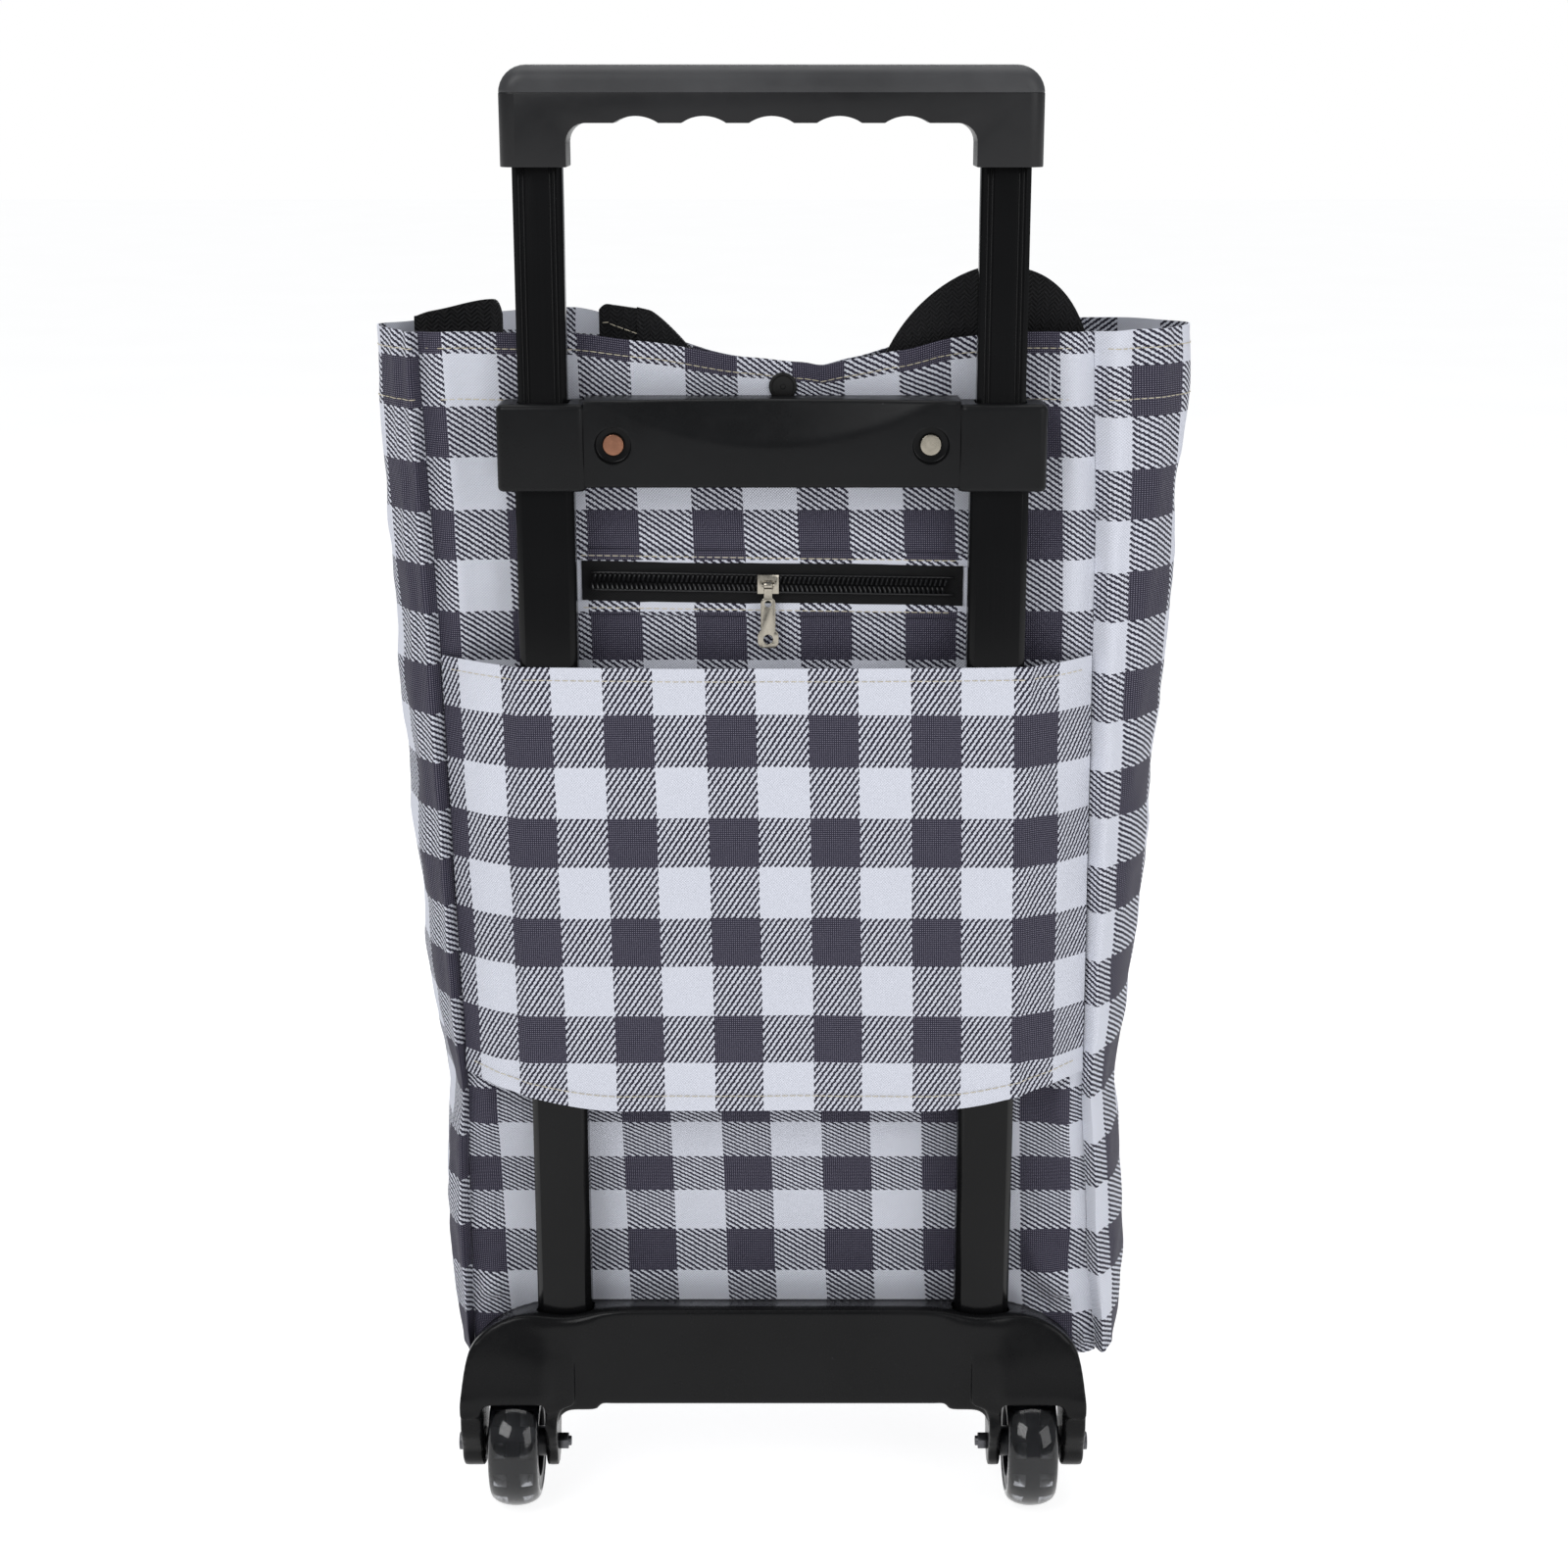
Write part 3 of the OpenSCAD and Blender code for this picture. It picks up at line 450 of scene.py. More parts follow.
footRubber = mouldedPlastic("foot_rubber", (0.018, 0.018, 0.018), 0.75, 0.8, 0.08, specks=False)
floorBoard = mouldedPlastic("floor_board", (0.024, 0.023, 0.022), 0.6, 1.4, 0.12)
tubeBlack = paintedTube("black_aluminium", (0.004, 0.004, 0.0043), 0.16, 0.0)
standPaint = paintedTube("coated_steel", (0.02, 0.02, 0.021), 0.38, 0.1)
zincSteel = platedMetal("zinc_steel", (0.52, 0.52, 0.54), 0.36)
blackenedSteel = platedMetal("blackened_steel", (0.13, 0.13, 0.14), 0.38)
springSteel = platedMetal("spring_steel", (0.4, 0.4, 0.42), 0.3)
copperRivet = platedMetal("copper_rivet", (0.34, 0.165, 0.105), 0.34, (300, 300, 1400))
nickelRivet = platedMetal("nickel_rivet", (0.42, 0.385, 0.32), 0.28, (300, 300, 1400))
zipMetal = platedMetal("zip_metal", (0.46, 0.425, 0.36), 0.24, (1500, 1500, 400))
coilNylon = paintedTube("zip_coil", (0.008, 0.008, 0.009), 0.22, 0.5)
tyreClear = clearTyre("clear_tyre")
checked = ginghamCloth("gingham_cloth")
lining = softCloth("lining_cloth", (0.50, 0.51, 0.54), 0.8, 0.05, 0.7, "weave")
webbing = softCloth("webbing", (0.010, 0.010, 0.011), 0.9, 0.35, 0.5, "weave", ribs=2.0)
zipTape = softCloth("zip_tape", (0.004, 0.004, 0.0045), 0.7, 0.12, 0.6, "weave", ribs=1.2)
sewingThread = softCloth("sewing_thread", (0.66, 0.60, 0.47), 0.5, 0.08, 0.6)
print("materials ready")


# the grip is one block, hollowed for the fingers and then parted into body and cap
grip = {"legWidth": 30, "cornerRound": 12.5, "windowRound": 8.5, "edgeRound": 7.5, "fingers": 5,
        "fingerPitch": 30, "fingerRound": 18, "fingerDepth": 3, "parting": 0.3, "socketDepth": 5,
        "screwRecess": 4, "screwDepth": 2.4, "underside": 684}


def buildGrip():
    low, high = spanOf("grip_lower")
    top = spanOf("grip_upper")[1].z
    split = high.z
    body = block("grip_lower_moulding", low, (high.x, high.y, top))
    bevelEdges(body, lambda a, b: abs(a.y - b.y) > 5 and a.z > split, grip["cornerRound"], 8)

    def outerLoop(a, b):
        flat = abs(a.y - b.y) < 0.1 and min(abs(a.y - low.y), abs(a.y - high.y)) < 0.1
        return flat and not (a.z < low.z + 0.1 and b.z < low.z + 0.1)
    bevelEdges(body, outerLoop, grip["edgeRound"], 6)
    inner = high.x - grip["legWidth"]
    window = block("window", (-inner, -60, low.z - 40), (inner, 60, grip["underside"]))
    bevelEdges(window, lambda a, b: abs(a.y - b.y) > 5 and a.z > 600, grip["windowRound"], 8)
    cut(body, window)
    for i in range(grip["fingers"]):
        x = (i - (grip["fingers"] - 1) / 2) * grip["fingerPitch"]
        z = grip["underside"] - grip["fingerRound"] + grip["fingerDepth"]
        cut(body, rod("finger", (x, 0, z), grip["fingerRound"], 120, "y", 96))
    for side in (-1, 1):
        tube, tubeEnd = spanOf("inner_tube_left" if side < 0 else "inner_tube_right")
        cut(body, block("socket", (tube.x - 0.5, tube.y - 0.5, low.z - 5),
                        (tubeEnd.x + 0.5, tubeEnd.y + 0.5, low.z + grip["socketDepth"])))
        cut(body, rod("recess", (side * tubeX, high.y, low.z + 10), grip["screwRecess"],
                      2 * grip["screwDepth"], "y", 32))
    softEdges(body, 1.1, angle=38, segments=3)
    cap = linked("grip_upper_moulding", body.data.copy())
    for piece, keepsTop in ((body, False), (cap, True)):
        def parted(mesh, piece=piece, keepsTop=keepsTop):
            bpy.ops.mesh.select_all(action="SELECT")
            bpy.ops.mesh.bisect(plane_co=(0, 0, split * mm), plane_no=(0, 0, 1), use_fill=True,
                                clear_inner=keepsTop, clear_outer=not keepsTop)
            mesh = bmesh.from_edit_mesh(piece.data)
            pickEdges(mesh, piece, lambda a, b: abs(a.z - split) < 0.01 and abs(b.z - split) < 0.01)
            bpy.ops.mesh.bevel(offset=grip["parting"] * mm, segments=2, affect="EDGES")
        inEdit(piece, parted)
        smooth(piece, 38)
    dress(body, gripPlastic, "grip_plastic", "handle", "grip_lower")
    # the cap takes the lightened plastic, a painted highlight for its lit top
    dress(cap, gripCapPaintedHighlight, "grip_cap_plastic", "handle", "grip_upper")


buildGrip()
for side in ("left", "right"):
    finishedCopy("inner_tube_" + side, tubeBlack, "black_aluminium", "handle", 0.35)
    finishedCopy("tube_shoe_" + side, naturalNylon, "natural_nylon", "handle", 0.3)
    finishedCopy("shoe_spring_" + side, springSteel, "spring_steel", "handle", 0)
    finishedCopy("outer_tube_" + side, tubeBlack, "black_aluminium", "frame", 0.5)
    finishedCopy("guide_bush_" + side, blackNylon, "black_nylon", "frame", 0.3)
finishedCopy("grip_screws", zincSteel, "zinc_steel", "handle", 0.35)
print("grip and tubes done")


crossbar = {"halfLength": 86, "front": -10, "back": 12.3, "top": 561.5, "bottom": 521.5,
            "creaseLow": 541, "creaseRise": 17, "creaseHalf": 70, "slopeBack": 0.26, "belly": 1.0,
            "flare": 1.2, "flareFrom": 78, "recess": 8.5, "recessDepth": 4, "lipRound": 1.2,
            "collarMiddle": 105.5, "collarWidth": 41, "collarFront": -13, "collarTop": 560,
            "collarBottom": 520, "collarRound": 4, "collarTopRound": 2.8, "collarLowRound": 2.2,
            "boreLow": 500, "boreTop": 558, "mouthWide": 12, "mouthDeep": 6.6}
rivet = {"x": 72.8, "z": 541, "sunk": 2, "radius": 5, "deep": 2, "round": 0.6, "rim": 3.1, "dimple": 0.25,
         "shank": 2.4, "shankEnd": 15.2, "tail": 4.5, "tailMiddle": 16.3, "tailDeep": 1.4}


def crossbarFront(x, z):
    # the bar's front face: a shallow hollow above a crease that sags in the middle
    c = crossbar
    crease = c["creaseLow"] + c["creaseRise"] * (x / c["creaseHalf"]) ** 2
    over = max(0.0, z - crease)
    hollow = over * c["slopeBack"] * (1 + 0.4 * ease(over / 6))
    swell = c["belly"] * math.sin(math.pi * (z - c["bottom"]) / (c["top"] - c["bottom"]))
    flare = c["flare"] * ease((abs(x) - c["flareFrom"]) / 8)
    return c["front"] + hollow - swell - flare


def buildCrossbar():
    c = crossbar
    bar = block("crossbar_moulding", (-c["halfLength"], c["front"], c["bottom"]),
                (c["halfLength"], c["back"], c["top"]))

    def frontGrid(mesh):
        pickEdges(mesh, bar, lambda a, b: abs(a.x - b.x) > 50)
        bpy.ops.mesh.subdivide(number_cuts=57)
        mesh = bmesh.from_edit_mesh(bar.data)
        pickEdges(mesh, bar, lambda a, b: abs(a.z - b.z) > 20)
        bpy.ops.mesh.subdivide(number_cuts=19)
    inEdit(bar, frontGrid)
    for vertex in bar.data.vertices:
        spot = inMm(vertex.co)
        if abs(spot.y - c["front"]) < 0.01:
            vertex.co = place(spot.x, crossbarFront(spot.x, spot.z), spot.z)

    def longEdge(a, b):
        level = abs(a.z - b.z) < 0.1 and min(abs(a.z - c["top"]), abs(a.z - c["bottom"])) < 0.1
        return level and abs(a.x - b.x) > 0.5 and max(a.y, b.y) < c["back"] - 1
    bevelEdges(bar, longEdge, 1.6, 3)
    for side in (-1, 1):
        middle = side * c["collarMiddle"]
        collar = block("collar", (middle - c["collarWidth"] / 2, c["collarFront"], c["collarBottom"]),
                       (middle + c["collarWidth"] / 2, c["back"], c["collarTop"]))
        bevelEdges(collar, lambda a, b: abs(a.z - b.z) > 20, c["collarRound"], 6)
        bevelEdges(collar, lambda a, b: abs(a.z - b.z) < 0.1 and a.z > 540, c["collarTopRound"], 5)
        bevelEdges(collar, lambda a, b: abs(a.z - b.z) < 0.1 and a.z < 522, c["collarLowRound"], 5)
        cut(bar, collar, "UNION")
        tube, tubeEnd = spanOf("outer_tube_left" if side < 0 else "outer_tube_right")
        cut(bar, block("bore", (tube.x - 0.1, tube.y - 0.1, c["boreLow"]),
                       (tubeEnd.x + 0.1, tubeEnd.y + 0.1, c["boreTop"])))
        cut(bar, block("mouth", (side * tubeX - c["mouthWide"], -c["mouthDeep"], 550),
                       (side * tubeX + c["mouthWide"], c["mouthDeep"], 565)))
        spot = (side * rivet["x"], c["front"] - 10 + c["recessDepth"], rivet["z"])
        recess = rod("recess", spot, c["recess"], 20, "y", 64)
        bevelEdges(recess, lambda a, b: min(a.y, b.y) > spot[1] + 9, c["lipRound"], 3)
        cut(bar, recess)
    softEdges(bar, 0.4, angle=42, segments=2)
    smooth(bar, 40)
    dress(bar, crossbarPlastic, "crossbar_plastic", "frame", "crossbar")


def buildRivet(side, name, material, slotName):
    r = rivet
    x = side * r["x"]
    y = crossbar["front"] + r["sunk"]
    head = rod(name + "_head", (x, y + r["deep"] / 2, r["z"]), r["radius"], r["deep"], "y", 48)
    bevelEdges(head, lambda a, b: max(a.y, b.y) < y + 0.1, r["round"], 4)

    def dimple(mesh):
        for face in mesh.faces:
            face.select_set(inMm(face.calc_center_median()).y < y + 0.05 and face.normal.y < -0.99)
        bmesh.update_edit_mesh(head.data)
        bpy.ops.mesh.inset(thickness=r["rim"] * mm)
        bpy.ops.transform.translate(value=(0, r["dimple"] * mm, 0))
    inEdit(head, dimple)
    shank = rod("shank", (x, (y + r["shankEnd"]) / 2, r["z"]), r["shank"], r["shankEnd"] - y, "y", 24)
    tail = rod("tail", (x, r["tailMiddle"], r["z"]), r["tail"], r["tailDeep"], "y", 32)
    bevelEdges(tail, lambda a, b: min(a.y, b.y) > 16.9, 0.5, 3)
    whole = joined(name + "_finished", [head, shank, tail])
    smooth(whole, 40)
    dress(whole, material, slotName, "frame", name)


buildCrossbar()
buildRivet(-1, "rivet_left", copperRivet, "copper_rivet")
buildRivet(1, "rivet_right", nickelRivet, "nickel_rivet")
finishedCopy("crossbar_backing_plate", zincSteel, "zinc_steel", "frame", 0.3)
print("crossbar done")


beam = {"voxel": 1.35, "evenPasses": 4, "blendPasses": 26, "blendFrom": 82, "blendTo": 150,
        "blendFront": -7, "front": -14, "lift": 8, "socketLift": 2.5, "socketReach": 17, "footLift": 0.55,
        "podLift": 0.5, "podDepth": 0.6, "blockDepth": 0.25, "shoulder": 3.0, "shoulderZ": 86,
        "plugEdge": 3, "plugLow": 58, "plugTop": 2.2, "holeLow": 78, "holeTop": 120}


def beamShape(spot):
    # the front carried up and back, lower round the sockets, the shoulders fuller
    b = beam
    x, y, z = spot
    wide = abs(x)
    legs = ease((wide - 104) / 5)
    above = lerp(1.0, ease((z - 42) / 14), legs)
    forward = min(1.0, max(0.0, (8 - y) / 22))
    lift = lerp(b["lift"], b["socketLift"], bump1(wide, tubeX, b["socketReach"]) * ease((z - 68) / 18))
    lift *= lerp(b["footLift"], 1.0, ease((z - 52) / 32))
    lift *= lerp(1.0, b["podLift"], ease((wide - 110) / 8) * (1 - ease((z - 62) / 18)))
    if y < b["front"]:
        depth = lerp(b["blockDepth"], b["podDepth"], ease((wide - 108) / 9))
        y = b["front"] + (y - b["front"]) * lerp(1.0, depth, above)
    fuller = b["shoulder"] * bump1(z, b["shoulderZ"], 15) * ease((wide - 118) / 20)
    return (x + math.copysign(fuller, x), y, z + lift * forward * above)


def buildBeam():
    b = beam
    top = spanOf("base_beam")[1].z
    body = linked("base_beam_moulding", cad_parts["base_beam"].data.copy())

    def merge(mesh):
        bpy.ops.mesh.select_all(action="SELECT")
        bpy.ops.mesh.remove_doubles(threshold=0.00001)
    inEdit(body, merge)
    tubes = [spanOf("outer_tube_left"), spanOf("outer_tube_right")]
    for tube, tubeEnd in tubes:              # sockets filled for now and cut sharp at the end
        plug = block("plug", (tube.x - b["plugEdge"], tube.y - b["plugEdge"], b["plugLow"]),
                     (tubeEnd.x + b["plugEdge"], tubeEnd.y + b["plugEdge"], top - b["plugTop"]))
        cut(body, plug, "UNION")
    applied(body, "REMESH", mode="VOXEL", voxel_size=b["voxel"] * mm)
    for vertex in body.data.vertices:
        vertex.co = place(*beamShape(inMm(vertex.co)))
    group = body.vertex_groups.new(name="blend")
    for vertex in body.data.vertices:
        spot = inMm(vertex.co)
        inside = b["blendFrom"] < abs(spot.x) < b["blendTo"] and spot.y < b["blendFront"] and spot.z > 50
        near = min(1.0, (abs(spot.x) - b["blendFrom"]) / 10) if inside else 0.0
        if near > 0:
            group.add([vertex.index], near * ease((b["blendFront"] - spot.y) / 5 + 0.2), "REPLACE")
    applied(body, "SMOOTH", factor=0.5, iterations=b["blendPasses"], vertex_group="blend")
    applied(body, "SMOOTH", factor=0.5, iterations=b["evenPasses"])
    for tube, tubeEnd in tubes:
        hole = block("hole", (tube.x - 0.9, tube.y - 1.3, b["holeLow"]),
                     (tubeEnd.x + 0.9, tubeEnd.y + 0.3, b["holeTop"]))
        bevelEdges(hole, lambda a, b: abs(a.z - b.z) > 20, 3, 3)
        cut(body, hole)
    smooth(body, 50)
    dress(body, beamPlastic, "beam_plastic", "frame", "base_beam")


buildBeam()
finishedCopy("beam_rear_cover", beamPlastic, "beam_plastic", "frame", 0.5)
for node in ("beam_cover_screws", "tube_foot_plugs", "bag_clamp_plate", "bag_clamp_screws"):
    finishedCopy(node, zincSteel, "zinc_steel", "frame", 0.3)
for node in ("axle_bolt_left", "axle_bolt_right", "axle_nut_left", "axle_nut_right"):
    finishedCopy(node, blackenedSteel, "zinc_steel", "frame", 0.3)
print("beam done")


wheel = {"radius": 32, "half": 12.5, "rim": 24.2, "shoulder": 25.6, "steps": 64, "middleX": 130.5,
         "axleY": -8, "axleZ": 32}


def buildTyre(side):
    name = "wheel_tyre_" + ("left" if side < 0 else "right")
    w = wheel
    crown = [(math.cos(math.radians(a)), math.sin(math.radians(a))) for a in range(0, 181, 12)]
    outline = [(w["half"] * c, w["shoulder"] + (w["radius"] - w["shoulder"]) * s) for c, s in crown]
    outline = [(w["half"] - 0.6, w["rim"]), (w["half"], w["rim"] + 0.7)] + outline
    outline += [(-w["half"], w["rim"] + 0.7), (-w["half"] + 0.6, w["rim"])]
    clearSelection()
    bpy.ops.mesh.primitive_circle_add(vertices=len(outline), radius=0.01)
    tyre = bpy.context.object
    tyre.name = name + "_finished"
    for vertex, (x, r) in zip(tyre.data.vertices, outline):
        vertex.co = place(side * w["middleX"] + x, w["axleY"], w["axleZ"] + r)

    def turn(mesh):
        bpy.ops.mesh.select_all(action="SELECT")
        bpy.ops.mesh.spin(steps=w["steps"], angle=2 * math.pi, axis=(1, 0, 0),
                          center=place(side * w["middleX"], w["axleY"], w["axleZ"]))
        bpy.ops.mesh.select_all(action="SELECT")
        bpy.ops.mesh.remove_doubles(threshold=0.00001)
        bpy.ops.mesh.normals_make_consistent(inside=False)
    inEdit(tyre, turn)
    smooth(tyre, 60)
    dress(tyre, tyreClear, "clear_tyre", name.replace("_tyre", ""), name)


for side, word in ((-1, "left"), (1, "right")):
    buildTyre(side)
    finishedCopy("wheel_hub_" + word, hubPlastic, "hub_plastic", "wheel_" + word, 0.35)
    finishedCopy("wheel_bush_" + word, naturalNylon, "natural_nylon", "wheel_" + word, 0.2)
print("wheels done")


# the stand folds up with the floor board
for node in ("stand_bracket_left", "stand_bracket_right"):
    finishedCopy(node, beamPlastic, "beam_plastic", "frame", 0.5)
finishedCopy("stand_frame", standPaint, "coated_steel", "stand", 0)
for node in ("stand_foot_left", "stand_foot_right"):
    finishedCopy(node, footRubber, "foot_rubber", "stand", 0.8, angle=50)
finishedCopy("bottom_board", floorBoard, "floor_board", "stand", 0.6)
finishedCopy("board_clips", blackNylon, "black_nylon", "stand", 0.4)
print("stand done")


zipParts = {"half": 90, "middleZ": 473, "tapeY": 11.9, "tapeHigh": 25, "toothPitch": 2.3,
            "toothLong": 3.4, "toothRound": 0.8, "toothLean": 0.16, "toothArch": 0.55, "rowZ": 2.0,
            "coilY": 10.5, "coilEnd": 5, "cordZ": 4.1, "tilt": 0.015, "lipOver": 3, "lipFold": 0.9,
            "stitchLeft": 0.222, "stitchRight": 0.785, "stitchTop": 12.2, "stitchLow": 12.8,
            "stitchY": 11.1}
snap = {"x": 5, "z": 565.5, "radius": 6.5, "front": 10.7, "back": 12.6, "round": 0.8,
        "dish": ((0.5, 0.0), (0.35, 0.4), (3.6, 0.0), (0.3, -0.3))}      # each an inset and its push


def zipLine(x):
    # the zip runs a little downhill
    return zipParts["middleZ"] - zipParts["tilt"] * x


def buildTooth():
    # one turn of the coil, a short slanted bead seen from outside
    tooth = rod("tooth", (0, 0, 0), zipParts["toothRound"], zipParts["toothLong"], "z", 6)
    bevelEdges(tooth, lambda a, b: abs(a.z - b.z) < 0.01, 0.2, 1)
    return tooth


def buildCoil():
    z = zipParts
    tooth = buildTooth()
    points = [inMm(v.co) for v in tooth.data.vertices]
    faces = [tuple(p.vertices) for p in tooth.data.polygons]
    bpy.data.objects.remove(tooth)
    vertices, polygons = [], []
    count = int((2 * z["half"] - 2 * z["coilEnd"]) / z["toothPitch"])
    for row in (-1, 1):
        for i in range(count):
            x = -z["half"] + z["coilEnd"] + (i + 0.25 * (row + 1)) * z["toothPitch"]
            base = len(vertices)
            for p in points:
                lean = p.z * z["toothLean"]
                arch = z["coilY"] - z["toothArch"] * math.cos(p.z / z["toothLong"] * 2.4)
                vertices.append(place(x + p.x * 0.9 + lean * row, arch + p.y,
                                      zipLine(x) + row * z["rowZ"] + p.z))
            polygons += [tuple(base + k for k in face) for face in faces]
    teeth = meshPiece("zip_coil_teeth", vertices, polygons)
    cords = []
    for row in (-1, 1):
        middle = z["middleZ"] + row * z["cordZ"]
        cord = block("cord", (-z["half"] + 4, z["tapeY"] - 1, middle - 0.5),
                     (z["half"] - 4, z["tapeY"], middle + 0.5))
        softEdges(cord, 0.3, 30, 2)
        for vertex in cord.data.vertices:
            vertex.co.z += (zipLine(vertex.co.x / mm) - z["middleZ"]) * mm
        cords.append(cord)
    whole = joined("zip_coil_finished", [teeth] + cords)
    smooth(whole, 50)
    dress(whole, coilNylon, "zip_coil", "frame", "zip_coil")


def buildSnap():
    s = snap
    cap = rod("snap_cap_finished", (s["x"], (s["front"] + s["back"]) / 2, s["z"]), s["radius"],
              s["back"] - s["front"], "y", 64)
    bevelEdges(cap, lambda a, b: max(a.y, b.y) < s["front"] + 0.1, s["round"], 4)

    def dish(mesh):
        for face in mesh.faces:
            face.select_set(face.normal.y < -0.99 and face.calc_area() > 2e-5)
        bmesh.update_edit_mesh(cap.data)
        for inset, push in s["dish"]:
            bpy.ops.mesh.inset(thickness=inset * mm)
            bpy.ops.transform.translate(value=(0, push * mm, 0))
    inEdit(cap, dish)
    smooth(cap, 18)
    dress(cap, snapPlastic, "snap_plastic", "frame", "snap_cap")


buildCoil()
buildSnap()
finishedCopy("zip_slider", zipMetal, "zip_metal", "zip_slider", 0.45)
finishedCopy("zip_puller", zipMetal, "zip_metal", "zip_puller", 0.3)
for node in ("snap_socket", "snap_stud"):
    finishedCopy(node, snapPlastic, "snap_plastic", "frame", 0.25)
print("zip and snap done")


# the bag's outline: heights with the X of its seams and of its widest places
cloth = {"thick": 0.7, "hem": 31, "hemLift": 0.45, "back": 12.6, "seamY": 17.8, "floor": 71, "top": 590.5,
         "seamRoll": 5.0, "seamDip": 2.6, "wave": 2.2, "slack": 8, "boardY": 13.5, "boardRoom": 3.2,
         "pullX": 168, "pullZ": 62, "rays": 3.2, "creaseDeep": 1.6,
         "squashY": 15.5, "squashKeep": 0.011}
leftSeam = [(70, -153.7), (245, -153.6), (335, -156), (437, -158.6), (594, -164)]
rightSeam = [(70, 166), (127, 160), (220, 155), (330, 154), (493, 152.5), (594, 149)]
leftOut = [(70, -163), (85, -166), (130, -170), (200, -169), (300, -176), (437, -179), (594, -180)]
rightOut = [(70, 178), (85, 180), (113, 182), (213, 176), (263, 181), (328, 185), (437, 189), (594, 195)]


def plainHeight(z, x):
    return z


def plainRun(run, x, z):
    return run


def mirrorRun(run, x, z):
    return -run


def rolledRun(run, x, z):
    # cloth taken up by the roll beside the gusset's seam
    return run - 0.28 * min(run, 55)


def rolledMirror(run, x, z):
    return -rolledRun(run, x, z)


def backRun(run, x, z):
    # a pleat of the back cloth lies hidden behind the left tube, and it hangs askew below
    return run * 0.966 - 13 * ease((-97 - x) / 21) - 6.3 * ease((262 - z) / 48)


def clothSheet(name, cols, rows, pointAt, anchor=0.5, shift=(0.0, 0.0), turned=False, flip=False,
               thick=None, inner=None, upAxis=2, heightOf=plainHeight, runOf=plainRun):
    # a sheet woven as a grid: pointAt(u, v) in mm, its weave map measured along the cloth
    spots = [[Vector(pointAt(c / cols, r / rows)) for c in range(cols + 1)] for r in range(rows + 1)]
    start = round(anchor * cols)
    weave = []
    for row in spots:
        run = [0.0] * (cols + 1)
        for c in range(start, cols):
            run[c + 1] = run[c] + (row[c + 1] - row[c]).length
        for c in range(start, 0, -1):
            run[c - 1] = run[c] - (row[c - 1] - row[c]).length
        for spot, way in zip(row, run):
            weave.append((runOf(way, spot.x, spot.z) + shift[0], heightOf(spot[upAxis], spot.x) + shift[1]))
    vertices = [place(*spot) for row in spots for spot in row]
    width = cols + 1
    faces = []
    for r in range(rows):
        for c in range(cols):
            a = r * width + c
            face = (a, a + 1, a + width + 1, a + width)
            faces.append(face[::-1] if flip else face)
    sheet = meshPiece(name, vertices, faces)
    mesh = sheet.data
    layer = mesh.uv_layers.new(name="weave")
    for loop in mesh.loops:
        u, v = weave[loop.vertex_index]
        layer.data[loop.index].uv = (v * mm, -u * mm) if turned else (u * mm, v * mm)
    if inner:
        mesh.materials.append(checked)
        mesh.materials.append(inner)
    applied(sheet, "SOLIDIFY", thickness=(thick or cloth["thick"]) * mm, offset=-1.0,
            material_offset=1 if inner else 0)
    return smooth(sheet, 60)


def hangs(sheet, node):
    # a checked sheet, with its materials already on it
    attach(sheet, "frame")
    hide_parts(node)


def normalAt(pointAt, u, v, flip):
    step = 0.004
    across = Vector(pointAt(min(1, u + step), v)) - Vector(pointAt(max(0, u - step), v))
    up = Vector(pointAt(u, min(1, v + step))) - Vector(pointAt(u, max(0, v - step)))
    normal = across.cross(up).normalized()
    return -normal if flip else normal


stitch = {"long": 3.35, "pitch": 3.7, "round": 0.24, "sides": 6,
          "rings": ((-0.5, 0.35, -0.1), (-0.3, 1.0, 0.22), (0.3, 1.0, 0.22), (0.5, 0.35, -0.1))}


def sewing(name, seams):
    # rows of stitches; each seam is (pointAt, flip, list of (u, v) along it), and each
    # ring of a stitch is its place along it, its fatness and its lift off the cloth
    s = stitch
    n = s["sides"]
    vertices, faces = [], []
    for pointAt, flip, path in seams:
        spots = [Vector(pointAt(u, v)) for u, v in path]
        length = 0.0
        nextStart = s["pitch"] * 0.5
        for k in range(len(spots) - 1):
            leg = spots[k + 1] - spots[k]
            while nextStart < length + leg.length:
                t = (nextStart - length) / leg.length
                u = lerp(path[k][0], path[k + 1][0], t)
                v = lerp(path[k][1], path[k + 1][1], t)
                out = normalAt(pointAt, u, v, flip)
                middle = spots[k] + leg * t
                ahead = leg.normalized()
                ahead = (ahead - out * ahead.dot(out)).normalized()
                aside = ahead.cross(out)
                base = len(vertices)
                for at, fat, lift in s["rings"]:
                    centre = middle + ahead * at * s["long"] + out * lift
                    for i in range(n):
                        q = 2 * math.pi * i / n
                        edge = (aside * math.cos(q) + out * math.sin(q)) * s["round"] * fat
                        vertices.append(place(*(centre + edge)))
                for ring in range(3):
                    for i in range(n):
                        a, b = base + ring * n + i, base + ring * n + (i + 1) % n
                        faces.append((a, b, b + n, a + n))
                faces.append(tuple(base + n - 1 - i for i in range(n)))
                faces.append(tuple(base + 3 * n + i for i in range(n)))
                nextStart += s["pitch"]
            length += leg.length
    rows = meshPiece(name, vertices, faces)

    def outward(mesh):
        bpy.ops.mesh.select_all(action="SELECT")
        bpy.ops.mesh.normals_make_consistent(inside=False)
    inEdit(rows, outward)
    rows.data.shade_smooth()
    return dress(rows, sewingThread, "gingham_cloth", "frame")


def level(pointAt, z, u):
    # the v at which the sheet reaches a height z
    low, high = 0.0, 1.0
    for halving in range(24):
        mid = (low + high) / 2
        if pointAt(u, mid)[2] < z:
            low = mid
        else:
            high = mid
    return (low + high) / 2


